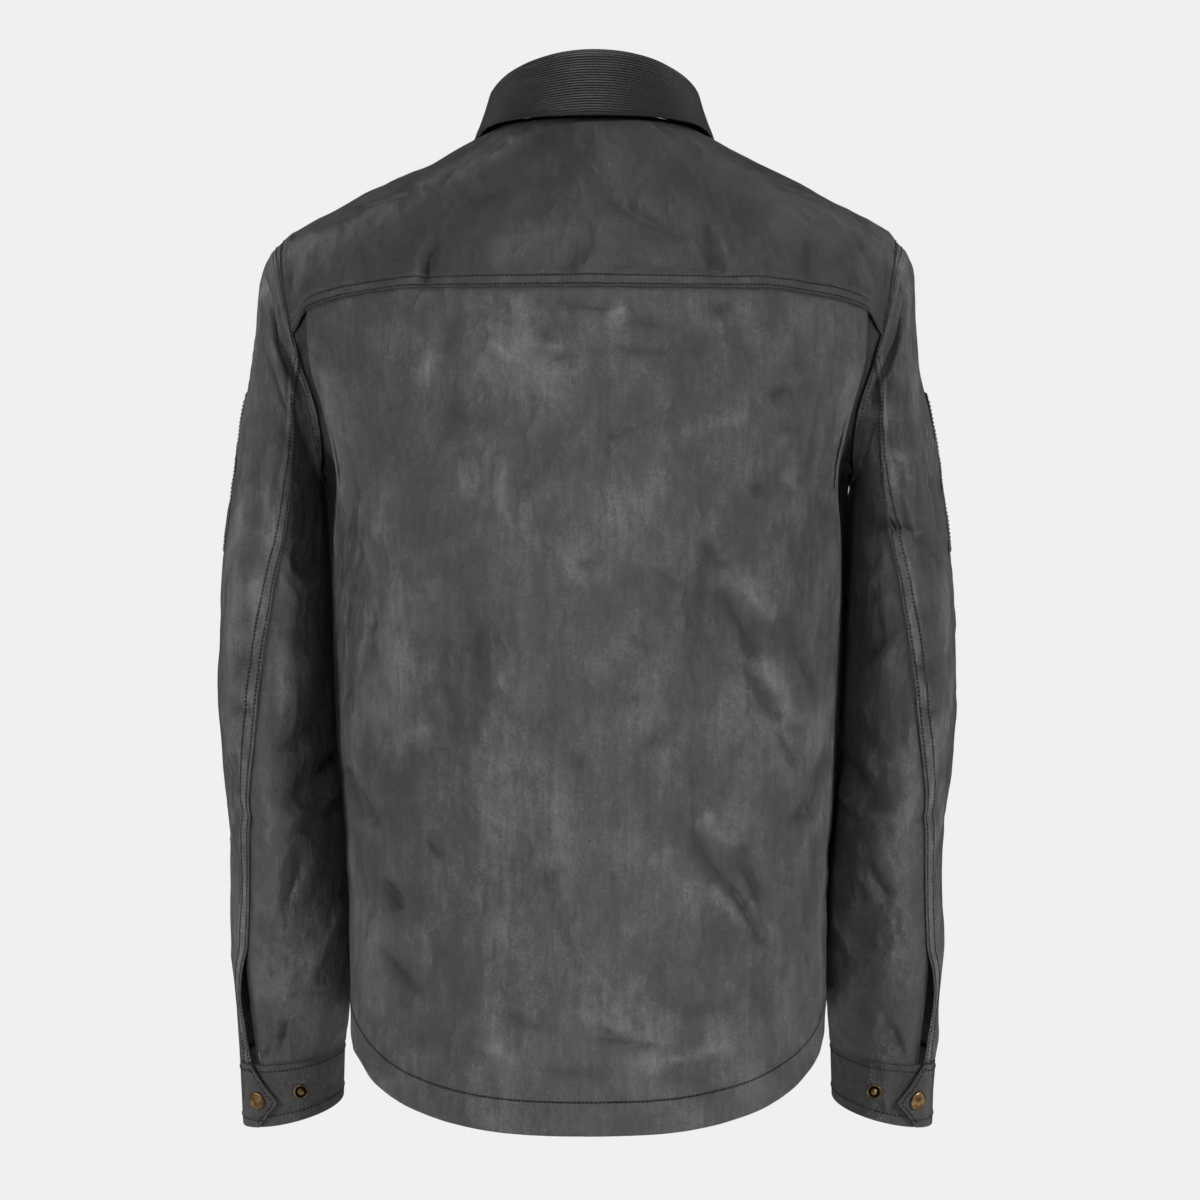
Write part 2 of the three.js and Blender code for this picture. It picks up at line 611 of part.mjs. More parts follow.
// How far the slit's two edges stand from the seam line, in degrees at each ring. The outer one bows out.
const SLIT_TOP = [
  [11.7, 0],
  [12.1, 8],
  [12.5, 15],
  [12.8, 16],
  [13.2, 13],
  [13.6, 10],
  [WRIST, 8],
];
const SLIT_UNDER = [
  [11.7, 0],
  [12.5, 2.5],
  [13, 4.4],
  [13.6, 5.3],
  [WRIST, 5.4],
];
function topSleevePlace(u, v) {
  const ring = mix(WRIST, 0, v);
  const from = lineAt(INNER_SEAM, ring) - 360;
  return onSleeve(mix(from, lineAt(BACK_SEAM, ring) - lineAt(SLIT_TOP, ring), u), ring);
}
function underSleevePlace(u, v) {
  const ring = mix(WRIST, 0, v);
  return onSleeve(mix(lineAt(BACK_SEAM, ring) + lineAt(SLIT_UNDER, ring), lineAt(INNER_SEAM, ring), u), ring);
}
const HEAD_TRIM = 0.7;
const sleeveTrims = [0.6, 0.6, 0.3, HEAD_TRIM];
const sleeveRings = [...steps(23, WRIST, 2.5), 2.1, 1.7, 1.35, 1.05, 0.75, 0.4, 0];
const sleeveRows = sleeveRings.map((ring) => 1 - ring / WRIST);
const sleeveShape = (place, across, way) => wall(steps(across), sleeveRows, way(place), CLOTH, sleeveTrims);

// Cuff: a band round the wrist that starts under the slit's back edge and laps over it with a clipped end
const CUFF_START_DEG = 42;
const CUFF_TURN_DEG = 398; // once round and 38 degrees more
const CUFF_PROUD = -0.6; // it is set a little inside the sleeve's own edge
const CUFF_LAP = BAND + 0.8;
const CUFF_TIGHT = 1.5; // it is that much tighter at its bottom edge
const CUFF_LEAN_DEG = 11; // the forearm's lean
const CUFF_AXIS = new THREE.Vector3(0, -Math.sin(radians(CUFF_LEAN_DEG)), -Math.cos(radians(CUFF_LEAN_DEG)));
const CUFF_TIP = 0.62; // how far down the lapping end's tip is
const CUFF_END = [
  [0, 0.921],
  [CUFF_TIP, 1],
  [1, 0.94],
]; // share of the band's run at which it ends, from its top to its bottom
const straightLine = ([a, b, c], v) =>
  v < b[0] ? mix(a[1], b[1], v / b[0]) : mix(b[1], c[1], (v - b[0]) / (1 - b[0]));
function cuffPoint(u, v) {
  const clip = 1 - straightLine(CUFF_END, v);
  const run = u * (1 - clip * Math.max(0, (u - 0.8) / 0.2));
  const turned = run * CUFF_TURN_DEG;
  const height = CUFF_HEIGHT + CUFF_OUTER_MORE * Math.cos(radians(CUFF_START_DEG + turned));
  const lap = CUFF_LAP * Math.min(1, Math.max(0, (turned - 325) / 30));
  const tight = -CUFF_TIGHT * v;
  const point = onSleeveRing(SLEEVE[WRIST], CUFF_START_DEG + turned, CUFF_PROUD + lap + tight);
  return point.addScaledVector(CUFF_AXIS, 0.4 + v * height);
}
function cuffPlace(u, v) {
  return {
    point: cuffPoint(u, v),
    normal: normalOf(cuffPoint, within(u, 0.004, 0.996), within(v, 0.02, 0.98), 0.004, 0.02, -1),
  };
}

// Arm patch: a plain rectangle sewn on the outside of each sleeve
const PATCH = { angle: -6, halfAngle: 20, top: 3.55, bottom: 5.55, thick: 1.2, clear: 0.75 };
function patchPlace(u, v) {
  const angle = mix(PATCH.angle - PATCH.halfAngle, PATCH.angle + PATCH.halfAngle, u);
  return onSleeve(angle, mix(PATCH.bottom, PATCH.top, v), PATCH.thick + PATCH.clear);
}

// Press studs, turned on a lathe: the cap that shows and the stud that it snaps on. Columns: radius, height.
const turned = (profile) => new THREE.LatheGeometry(profile.map(([r, h]) => new THREE.Vector2(r, h)), 12);
const capShape = () =>
  turned([
    [0, 0],
    [SNAP_R - 0.4, 0],
    [SNAP_R, 0.7],
    [SNAP_R - 0.5, 1.5],
    [SNAP_R - 1.6, 1.9],
    [SNAP_R - 3, 1.7],
    [0, 2],
  ]);
const studShape = () =>
  turned([
    [0, 0],
    [STUD_R, 0],
    [STUD_R, 0.8],
    [STUD_R - 0.6, 1.2],
    [STUD_R - 1.3, 0.6],
    [2, 0.5],
    [2.1, 1.9],
    [1.2, 2.7],
    [0, 2.9],
  ]);

// Finishes
const finish = (color, roughness, metalness = 0) =>
  new THREE.MeshStandardMaterial({ color, roughness, metalness });
const waxed = finish(0x3f3f3f, 0.55);
const corduroy = finish(0x1c1c1d, 0.9);
const brass = finish(0x9a7438, 0.35, 1);

const jacket = new THREE.Group();
function add(name, geometry, material) {
  const mesh = new THREE.Mesh(geometry, material);
  mesh.name = name;
  jacket.add(mesh);
  return mesh;
}
function stud(name, geometry, place, clear = 0.3) {
  const mesh = add(name, geometry, brass);
  mesh.position.copy(place.point).addScaledVector(place.normal, clear);
  mesh.position.x += askew(place.point.z);
  mesh.quaternion.setFromUnitVectors(new THREE.Vector3(0, 1, 0), place.normal);
}

add("back_panel", backShape(), waxed);
add("back_yoke", yokeShape(), waxed);
add("collar_stand", wall(steps(36, -1, 1), steps(3), standPlace, CORD), corduroy);
const leafRows = [0, 0.08, 0.16, ROLL_SHARE, 0.43, 0.62, 0.81, 1];
add("collar_leaf", wall(steps(40, -1, 1), leafRows, leafPlace, CORD), corduroy);
const placketRows = frontRows.map((v) => Math.min(Math.max(v, 0.004), 0.985));
add("front_placket", wall(steps(4), placketRows, placketPlace, BAND), waxed);
const FRONT_SNAPS = table(
  ["share", "clear"], // share of the placket's length, and the gap that the cap needs above the rounder neck end
  [
    [0.94, 1.2],
    [0.85, 0.4],
    [0.7, 0.3],
    [0.52, 0.3],
    [0.34, 0.3],
    [0.16, 0.3],
  ],
);
FRONT_SNAPS.forEach((snap, i) =>
  stud(`snap_cap_front_${i + 1}`, capShape(), placketPlace(0.5, snap.share), snap.clear),
);

const SIDES = { left: (place) => place, right: (place) => (u, v) => mirror(place(u, v)) };
for (const [side, way] of Object.entries(SIDES)) {
  add(`front_${side}`, frontShape(way), waxed);
  const inlayTrims = [SEAM_TRIM, 0, 0, SEAM_TRIM];
  add(`pleat_inlay_${side}`, wall(steps(4), steps(14), way(inlayPlace), CLOTH, inlayTrims), waxed);
  add(`sleeve_top_${side}`, sleeveShape(topSleevePlace, 13, way), waxed);
  add(`sleeve_under_${side}`, sleeveShape(underSleevePlace, 11, way), waxed);
  add(`cuff_${side}`, wall(steps(44), [0, CUFF_TIP / 2, CUFF_TIP, 1], way(cuffPlace), BAND, UNCUT), waxed);
  add(`arm_patch_${side}`, wall(steps(4), steps(4), way(patchPlace), PATCH.thick, UNCUT), waxed);
  stud(`snap_cap_cuff_${side}`, capShape(), way(cuffPlace)(0.945, 0.56));
  stud(`snap_stud_cuff_${side}`, studShape(), way(cuffPlace)(0.15, 0.5));
}

export default jacket;
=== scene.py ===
# A man's waxed cotton jacket with a corduroy collar, filled out as when worn and seen from the back.
# The forms repeat the solids' own sizes in millimetres; this file adds the folds, the sewing and the finishes.
import math

import bmesh
import bpy
import numpy as np
from mathutils import Matrix, Vector


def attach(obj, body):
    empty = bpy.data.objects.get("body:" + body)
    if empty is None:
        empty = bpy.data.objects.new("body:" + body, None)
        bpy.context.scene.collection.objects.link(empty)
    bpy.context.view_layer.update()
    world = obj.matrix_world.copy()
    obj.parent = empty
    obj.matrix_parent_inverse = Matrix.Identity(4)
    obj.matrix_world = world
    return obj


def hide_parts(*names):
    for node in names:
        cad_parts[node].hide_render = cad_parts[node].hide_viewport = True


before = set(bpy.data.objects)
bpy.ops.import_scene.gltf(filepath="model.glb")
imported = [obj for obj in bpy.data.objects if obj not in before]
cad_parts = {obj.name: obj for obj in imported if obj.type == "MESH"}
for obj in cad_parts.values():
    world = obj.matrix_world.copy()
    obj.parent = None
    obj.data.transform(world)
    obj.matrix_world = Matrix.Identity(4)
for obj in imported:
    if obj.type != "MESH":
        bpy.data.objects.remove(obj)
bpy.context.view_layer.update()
MM = 0.001

# Sizes of the solids
HEM_SIDE_Z = -648
HEM_BACK_DROP = 76
HEM_FRONT_DROP = 42
PLACKET_HALF = 18
BAND = 2.4
PLEAT_SINK = 8
PLEAT_TOP_SINK = 3.4
PLEAT_RISE = 0.9
PLEAT_TUCK_DEG = 9
CUFF_HEIGHT = 46
CUFF_OUTER_MORE = 3
SNAP_R = 6.8
STUD_R = 5.5

# Sizes of the cloth and its sewing
CLOTH = 1.0  # one layer of waxed cotton
CORD = 2.0  # the collar's two layers
LAP_LIFT = 0.9  # a lapped edge stands this far above its neighbour
LAP_WIDE = 11.0  # the seam turnings under it
STITCH_ROWS = (2.2, 8.6)  # distances of the two rows from a lapped edge
HEM_ROW = 23.5
STITCH_PITCH = 3.0
STITCH_LONG = 2.1
STITCH_THICK = 0.95


def mix(a, b, share):
    return a + (b - a) * share


def power(value, exponent):
    return np.sign(value) * np.abs(value) ** exponent


def between(a, b, c, d, t):
    """Catmull-Rom through four neighbours."""
    return 0.5 * (2 * b + (c - a) * t + (2 * a - 5 * b + 4 * c - d) * t**2 + (3 * b - a - 3 * c + d) * t**3)


def neighbours(place, last):
    at = np.clip(place, 0, last)
    i = np.minimum(np.floor(at).astype(int), last - 1)
    return [np.clip(i + k, 0, last) for k in (-1, 0, 1, 2)], at - i


def rows_at(rows, place):
    """The columns of a table at places between its rows."""
    near, t = neighbours(np.asarray(place, float), len(rows) - 1)
    return np.moveaxis(between(*(rows[k] for k in near), t[..., None]), -1, 0)


def line_at(pairs, place):
    """A smooth line through (place, value) pairs."""
    x, y = np.array(pairs, float).T
    at = np.clip(place, x[0], x[-1])
    i = np.clip(np.searchsorted(x, at, "right") - 1, 0, len(x) - 2)
    share = (at - x[i]) / (x[i + 1] - x[i])
    return between(*(y[np.clip(i + k, 0, len(x) - 1)] for k in (-1, 0, 1, 2)), share)


# The body's rings: half width, back, front, height at the side, the back and the front, squareness
BODY = np.array(
    [
        [172, 116, 130, -750, -750, -750, 2.5],
        [172, 118, 132, -650, -650, -650, 2.5],
        [174, 121, 136, -555, -555, -555, 2.5],
        [181, 124, 140, -465, -465, -465, 2.5],
        [185.5, 128, 144, -375, -375, -375, 2.5],
        [189, 132, 147, -305, -305, -305, 2.5],
        [192, 133, 148, -258, -258, -258, 2.5],
        [207, 134, 146, -212, -222, -224, 2.5],
        [226, 132, 141, -165, -186, -190, 2.5],
        [233, 127, 131, -120, -148, -160, 2.5],
        [223, 120, 119, -88, -113, -134, 2.45],
        [193, 112, 107, -67, -80, -116, 2.35],
        [155, 105, 97, -47.5, -53, -104, 2.25],
        [118, 97, 88, -30, -29, -96, 2.15],
        [91, 87, 79, -15.5, -10, -90, 2.05],
        [76, 77, 73, -8, 0, -86, 2],
    ],
    float,
)
ARMPIT = 6
SHOULDER_TIP = 10
NECK = len(BODY) - 1
RISE_POWER = 1.6


def on_ring(rows, place, angle):
    half, back, front, z_side, z_back, z_front, square = rows_at(rows, place)
    c = np.cos(np.radians(angle))
    s = np.sin(np.radians(angle))
    return np.stack(
        np.broadcast_arrays(
            half * power(c, 2 / square),
            np.where(s > 0, back, front) * power(s, 2 / square),
            mix(z_side, np.where(s > 0, z_back, z_front), np.abs(s) ** RISE_POWER),
        ),
        -1,
    )


def body(angle, ring):
    return on_ring(BODY, ring, angle)


def normal_of(surface, a, b, step_a, step_b, way=1):
    along = surface(a + step_a, b) - surface(a - step_a, b)
    up = surface(a, b + step_b) - surface(a, b - step_b)
    across = np.cross(along, up)
    return way * across / np.linalg.norm(across, axis=-1, keepdims=True)


RINGS = np.linspace(0, ARMPIT, 601)
RING_HEIGHTS = rows_at(BODY, RINGS)[3]


def ring_at_height(z):
    return np.interp(z, RING_HEIGHTS, RINGS)


# The largest folds, as in the solids: x, z, lean, long, wide, high
BACK_FOLDS = [
    [-70, -545, 28, 150, 17, 3.2],
    [-98, -500, 22, 170, 18, -3],
    [-105, -590, 32, 120, 14, -2.6],
    [-120, -455, 18, 130, 15, 2.6],
    [118, -585, 30, 120, 16, -2.6],
    [132, -560, 26, 110, 15, 2.8],
    [60, -430, 10, 170, 22, 2.2],
    [10, -645, 82, 170, 16, 2.8],
    [-30, -672, 84, 150, 13, -2.6],
    [-40, -152, 80, 120, 12, -2.4],
    [-30, -75, 62, 110, 12, -2.4],
    [-95, -95, 20, 80, 11, -2.6],
    [112, -105, -10, 75, 10, -2.4],
]
FRONT_FOLDS = [
    [95, -250, 32, 150, 17, 2.8],
    [120, -290, 28, 150, 16, -2.6],
    [100, -520, 14, 190, 20, 2.8],
    [78, -600, 20, 110, 15, -2.4],
]


def fold_height(folds, x, z):
    height = 0
    for at_x, at_z, lean, long, wide, high in folds:
        dx = x - at_x
        dz = z - at_z
        c = math.cos(math.radians(lean))
        s = math.sin(math.radians(lean))
        end = np.maximum(0, 1 - ((dz * c + dx * s) / (long / 2)) ** 2)
        height = height + high * np.exp(-(((dx * c - dz * s) / wide) ** 2)) * end * end
    return height


def on_body(angle, ring, lift=0):
    plain = body(angle, ring)
    normal = normal_of(body, angle, np.minimum(ring, NECK - 0.02), 0.5, 0.02)
    x = plain[..., 0]
    z = plain[..., 2]
    behind = np.mod(angle, 360) < 180
    fold = np.where(behind, fold_height(BACK_FOLDS, x, z), fold_height(FRONT_FOLDS, x, z))
    fold = fold * np.abs(np.sin(np.radians(angle))) ** 0.5
    return plain + normal * (fold + lift)[..., None], normal


ARMHOLE_DEG = 27
ARMHOLE_ROUND = 2.3
ARMHOLE_MIDDLE = (ARMPIT + SHOULDER_TIP) / 2
ARMHOLE_REACH = (SHOULDER_TIP - ARMPIT) / 2


def armhole_angle(ring):
    away = np.minimum(1, np.abs((ring - ARMHOLE_MIDDLE) / ARMHOLE_REACH))
    return ARMHOLE_DEG * (1 - away**ARMHOLE_ROUND) ** (1 / ARMHOLE_ROUND)


# Seam lines in angle and ring, of the left side
YOKE_CORNER = 8.3
FRONT_CORNER = 9.5
FRONT_NECK_DEG = -32
FOLD_TOP_DEG = 35
FOLD_END = 3
YOKE_SEAM = [[float(armhole_angle(YOKE_CORNER)), YOKE_CORNER], [FOLD_TOP_DEG, 8.75], [45, 9.05], [62, 9.42], [90, 9.57]]
FOLD_TOP = float(line_at(YOKE_SEAM, FOLD_TOP_DEG))
FOLD_EDGE = [[FOLD_END, 0], [4, 10], [5, 18], [ARMPIT, 24], [7.2, 29], [FOLD_TOP, FOLD_TOP_DEG]]


def hem_ring(angle):
    s = np.sin(np.radians(angle))
    drop = np.where(s > 0, HEM_BACK_DROP * np.abs(s) ** 0.85, HEM_FRONT_DROP * np.abs(s) ** 1.3)
    return ring_at_height(HEM_SIDE_Z - drop)


def patch(bottom, top, start, end):
    """A surface between four edges, each a function from 0 to 1 that gives (angle, ring)."""
    corner = [[edge(np.float64(t)) for t in (0, 1)] for edge in (bottom, top)]

    def at(u, v):
        low, high, left, right = bottom(u), top(u), start(v), end(v)
        return [
            mix(low[k], high[k], v)
            + mix(left[k], right[k], u)
            - mix(mix(corner[0][0][k], corner[0][1][k], u), mix(corner[1][0][k], corner[1][1][k], u), v)
            for k in (0, 1)
        ]

    return at


def path(parts, shares):
    """An edge of several parts, with the shares of its run at which they meet."""

    def at(t):
        t = np.asarray(t, float)
        angle = ring = np.zeros_like(t)
        for i, part in enumerate(parts):
            a, r = part(np.clip((t - shares[i]) / (shares[i + 1] - shares[i]), 0, 1))
            mine = (t > shares[i]) | (i == 0)
            angle = np.where(mine, a, angle)
            ring = np.where(mine, r, ring)
        return angle, ring

    return at


# Back panel
BACK_BEND = 0.43
FOLD_PUFF = 1.2


def fold_edge(t):
    ring = mix(FOLD_END, FOLD_TOP, t)
    return line_at(FOLD_EDGE, ring), ring


back_half = patch(
    lambda u: (mix(90, 0, u), hem_ring(mix(90, 0, u))),
    lambda u: (mix(90, FOLD_TOP_DEG, u), line_at(YOKE_SEAM, mix(90, FOLD_TOP_DEG, u))),
    lambda v: (90 + 0 * v, mix(hem_ring(90), YOKE_SEAM[4][1], v)),
    path([lambda t: (0 * t, mix(hem_ring(0), FOLD_END, t)), fold_edge], [0, BACK_BEND, 1]),
)


def back_place(u, v):
    half = np.abs(2 * u - 1)
    angle, ring = back_half(half, v)
    edge = np.maximum(0, (half - 0.9) / 0.1) * np.maximum(0, (v - BACK_BEND) / (1 - BACK_BEND)) ** 0.5
    return on_body(np.where(u < 0.5, 180 - angle, angle), ring, FOLD_PUFF * edge)


# Pleat inlay
INLAY_FROM = FOLD_END + 0.15


def inlay_outer(ring):
    return np.where(ring > ARMPIT, armhole_angle(ring), 0), ring


def inlay_inner(ring):
    return line_at(FOLD_EDGE, ring) + PLEAT_TUCK_DEG, ring


def inlay_top(u):
    angle = mix(YOKE_SEAM[0][0], FOLD_TOP_DEG + PLEAT_TUCK_DEG, u)
    return angle, line_at(YOKE_SEAM, angle) - 0.02


INLAY_TOP_RING = float(line_at(YOKE_SEAM, FOLD_TOP_DEG + PLEAT_TUCK_DEG)) - 0.02
inlay = patch(
    lambda u: (mix(0, inlay_inner(INLAY_FROM)[0], u), INLAY_FROM + 0 * u),
    inlay_top,
    lambda v: inlay_outer(mix(INLAY_FROM, YOKE_CORNER - 0.02, v)),
    lambda v: inlay_inner(mix(INLAY_FROM, INLAY_TOP_RING, v)),
)


def inlay_place(u, v):
    angle, ring = inlay(u, v)
    outer = inlay_outer(np.minimum(ring, YOKE_CORNER))[0]
    shown = np.maximum(line_at(FOLD_EDGE, ring) - outer, 2)
    risen = np.clip(1 - (line_at(YOKE_SEAM, angle) - ring) / PLEAT_RISE, 0, 1)
    return on_body(angle, ring, -mix(PLEAT_SINK, PLEAT_TOP_SINK, risen) * np.clip((angle - outer) / shown, 0, 1))


# Yoke
YOKE_SHARES = [0, 0.1, 0.27, 0.36, 0.5]


def with_armhole(ring, side=1):
    return side * armhole_angle(ring), ring


def along_yoke(angle):
    return angle, line_at(YOKE_SEAM, angle)


yoke_outer = path(
    [
        lambda t: with_armhole(mix(FRONT_CORNER, SHOULDER_TIP, t**0.5), -1),
        lambda t: with_armhole(mix(SHOULDER_TIP, YOKE_CORNER, t * t)),
        lambda t: along_yoke(mix(YOKE_SEAM[0][0], FOLD_TOP_DEG, t)),
        lambda t: along_yoke(mix(FOLD_TOP_DEG, 90, t)),
    ],
    YOKE_SHARES,
)
YOKE_NECK = list(zip(YOKE_SHARES, [FRONT_NECK_DEG, -6, 46, 60, 90]))


def yoke_place(u, v):
    half = np.where(u <= 0.5, u, 1 - u)
    outer_angle, outer_ring = yoke_outer(half)
    angle = mix(outer_angle, line_at(YOKE_NECK, half), v)
    return on_body(np.where(u <= 0.5, angle, 180 - angle), mix(outer_ring, NECK, v))


# Fronts
FRONT_BEND = 0.68
NECK_SHARE = 0.5
MIDDLE_BEND = ARMPIT + 0.5
middle_edge = path(
    [
        lambda t: (-90 + 0 * t, mix(hem_ring(-90), MIDDLE_BEND, t)),
        lambda t: (-90 + 0 * t, mix(MIDDLE_BEND, NECK, t)),
    ],
    [0, FRONT_BEND, 1],
)
front_half = patch(
    lambda u: (mix(-90, 0, u), hem_ring(mix(-90, 0, u))),
    path(
        [
            lambda t: (mix(-90, FRONT_NECK_DEG, t), NECK + 0 * t),
            lambda t: (mix(FRONT_NECK_DEG, -armhole_angle(FRONT_CORNER), t), mix(NECK, FRONT_CORNER, t)),
        ],
        [0, NECK_SHARE, 1],
    ),
    middle_edge,
    path(
        [
            lambda t: (0 * t, mix(hem_ring(0), ARMPIT, t)),
            lambda t: with_armhole(mix(ARMPIT, FRONT_CORNER, t**1.5), -1),
        ],
        [0, FRONT_BEND, 1],
    ),
)


def front_place(u, v):
    return on_body(*front_half(u, v))


def placket_place(u, v):
    lift = BAND + mix(0.5, 1.9, np.maximum(0, v - 0.88) / 0.12)
    ring = middle_edge(v)[1]
    x = mix(-PLACKET_HALF, PLACKET_HALF, u)
    half, square = rows_at(BODY, ring)[[0, 6]]
    turn = np.degrees(np.arccos((np.abs(x) / half) ** (square / 2)))
    return on_body(np.where(x < 0, turn - 180, -turn), ring, lift)


# Collar
COLLAR = np.array([[76, 77, 73, -7.2, 0.8, -85.2, 2], [68.5, 76, 70, 18, 37, -55, 2]], float)
ROLL = np.array(
    [
        [68.5, 76, 70, 18.5, 37.6, -54.5, 2],
        [69.7, 77.4, 71.4, 23, 42.4, -50, 2],
        [73, 81, 75, 24, 43.6, -49, 2],
        [75.8, 84, 78.5, 20, 39.5, -53, 2],
    ],
    float,
)
STAND_END_DEG = 179
LEAF_FOLD_DEG = 176
LEAF_POINT_DEG = 157
LEAF_EDGE = np.array([[13.95, 11.5], [14.1, 7.5], [14.4, 3.4], [13.7, 4], [12.9, 4.5]])
ROLL_SHARE = 0.24


def stand_place(u, v):
    def surface(a, b):
        return on_ring(COLLAR, b, a)

    angle = 90 - (2 * u - 1) * STAND_END_DEG
    return surface(angle, v), normal_of(surface, angle, np.clip(v, 0.02, 0.98), 0.5, 0.02)


def leaf_point(u, v):
    side = 2 * u - 1
    angle = 90 - side * mix(LEAF_FOLD_DEG, LEAF_POINT_DEG, np.maximum(0, v) ** 1.2)
    roll = on_ring(ROLL, np.minimum(1, v / ROLL_SHARE) * (len(ROLL) - 1), angle)
    ring, lift = rows_at(LEAF_EDGE, np.abs(side) * (len(LEAF_EDGE) - 1))
    low = on_body(angle, ring, lift)[0]
    share = np.clip((v - ROLL_SHARE) / (1 - ROLL_SHARE), 0, 1)
    return mix(roll, low, share[..., None])


def leaf_place(u, v):
    normal = normal_of(leaf_point, np.clip(u, 0.005, 0.995), np.clip(v, 0.02, 0.98), 0.005, 0.02)
    return leaf_point(u, v), normal


# Sleeve rings: outer x and z, inner x and z, y, depth, drop of the back, squareness, swing of the inner side
SLEEVE = np.array(
    [
        [223, -88, 192.5, -258, 0, 70, 0, 2.2, 0],
        [235.5, -106, 193.3, -262.5, 1, 75.5, 2, 2.2, 6],
        [237.5, -135, 193.2, -267.5, 2, 77.5, 4, 2.2, 14],
        [241.5, -172, 192, -276, 3, 78.5, 5, 2.2, 26],
        [250, -218, 190.1, -292, 4, 78.5, 4, 2.2, 34],
        [258.5, -278, 188.4, -322, 5, 76.5, 2, 2.2, 38],
        [265.5, -340, 186.7, -362, 7, 73.5, 0, 2.2, 38],
        [268.5, -400, 184.9, -408, 9, 70.5, 0, 2.2, 36],
        [266.5, -445, 182.8, -448, 10, 67.5, 1, 2.2, 34],
        [262, -488, 180.6, -484, 8, 63.5, 4, 2.2, 30],
        [259, -522, 177.8, -514, 2, 60.5, 7, 2.2, 22],
        [260, -565, 174.7, -554, -10, 55.5, 8, 2.2, 12],
        [261.5, -608, 173.9, -596, -25, 50.5, 8, 2.2, 4],
        [259, -650, 177, -640, -40, 45.5, 8, 2.2, 0],
        [258.2, -685, 179.5, -673.5, -50, 42.5, 7.5, 2.1, 0],
    ],
    float,
)
WRIST = len(SLEEVE) - 1
HEAD_LIFT = 0.5
ARMPIT_LIFT = 1.2


def armhole_point(angle):
    c = power(np.cos(np.radians(angle)), 2 / ARMHOLE_ROUND)
    s = power(np.sin(np.radians(angle)), 2 / ARMHOLE_ROUND)
    return on_body(ARMHOLE_DEG * s, ARMHOLE_MIDDLE + ARMHOLE_REACH * c, HEAD_LIFT + ARMPIT_LIFT * (1 - c) / 2)[0]


def on_sleeve_ring(row, angle, far=0):
    out_x, out_z, in_x, in_z, y, deep, drop, square, swing = np.moveaxis(row, -1, 0)
    c = power(np.cos(np.radians(angle)), 2 / square)
    s = power(np.sin(np.radians(angle)), 2 / square)
    return np.stack(
        np.broadcast_arrays(
            mix(in_x - far, out_x + far, (1 + c) / 2),
            y + (deep + far) * s - swing * ((1 - c) / 2) ** 2,
            mix(in_z, out_z, (1 + c) / 2) - drop * s,
        ),
        -1,
    )


def sleeve(angle, ring):
    near, t = neighbours(ring, WRIST)
    head = armhole_point(angle)
    points = [np.where((k == 0)[..., None], head, on_sleeve_ring(SLEEVE[k], angle)) for k in near]
    return between(*points, t[..., None])


# The sleeves' largest folds, as in the solids: angle, ring, to angle, to ring, wide, high
SLEEVE_FOLDS = [
    [186, 8.1, 93, 9.2, 12, -7.5],
    [172, 8.95, 84, 9.5, 7, 4.5],
    [158, 9.45, 96, 9.8, 8, -3.5],
    [20, 9, 76, 9.5, 8, -3],
    [130, 9.75, 102, 11, 11, 2.5],
    [125, 5, 84, 5.9, 11, -3],
    [150, 6.6, 96, 7.3, 12, 2.5],
    [200, 8.6, 275, 9.4, 11, -5],
    [205, 7.9, 262, 8.5, 11, 3.5],
    [84, 12.9, 70, 13.7, 8, 2.2],
]
ARC_MM = 1.05
RING_MM = 42
HEAD_FOLD_LINE = [[12, 0.95], [36, 1.12], [59, 1.05], [81, 0.8], [98, 0.42], [120, 0.3]]
HEAD_FOLD_DEEP = 6.5
HEAD_FOLD_WIDE = 0.24
HEAD_FOLD_FRONT = 0.6


def head_fold(turned, ring):
    back = np.where(turned <= 180, turned, 360 - turned)
    ends = np.clip((back - 8) / 25, 0, 1) * np.clip((130 - back) / 25, 0, 1)
    across = (ring - line_at(HEAD_FOLD_LINE, back)) / HEAD_FOLD_WIDE
    return -HEAD_FOLD_DEEP * np.where(turned <= 180, 1, HEAD_FOLD_FRONT) * ends * np.exp(-across * across)


def crease_height(creases, a, b):
    """Creases from one place to another: a, b, to a, to b, wide, high; half of one is a sharp line, half a soft dip."""
    height = 0
    for from_a, from_b, to_a, to_b, wide, high in creases:
        run_a = to_a - from_a
        run_b = to_b - from_b
        share = ((a - from_a) * run_a + (b - from_b) * run_b) / (run_a**2 + run_b**2)
        across = ((a - from_a) * run_b - (b - from_b) * run_a) / math.hypot(run_a, run_b)
        end = np.maximum(0, 1 - (2 * share - 1) ** 2)
        height = height + high * np.exp(-(np.abs(across / wide) ** 1.4)) * np.sqrt(end)
    return height


def sleeve_creases(rows):
    return [[a * ARC_MM, r * RING_MM, b * ARC_MM, s * RING_MM, wide, high] for a, r, b, s, wide, high in rows]


def on_sleeve(angle, ring, lift=0):
    normal = normal_of(sleeve, angle, np.clip(ring, 0.03, WRIST - 0.03), 1.5, 0.03, -1)
    turned = np.mod(angle, 360)
    fold = head_fold(turned, ring) + crease_height(sleeve_creases(SLEEVE_FOLDS), turned * ARC_MM, ring * RING_MM)
    fold = fold * np.clip(np.minimum(ring, (WRIST - ring) * 2), 0, 1)
    return sleeve(angle, ring) + normal * (fold + lift)[..., None], normal


BACK_SEAM = [
    [0, 92],
    [1, 103],
    [2, 105.5],
    [4, 104.5],
    [5, 99.5],
    [6, 91],
    [7, 83],
    [8, 74.5],
    [9, 62],
    [10, 56.5],
    [11, 54],
    [12, 51],
    [13, 51],
    [WRIST, 54],
]
INNER_SEAM = [[0, 248], [6, 236], [WRIST, 222]]
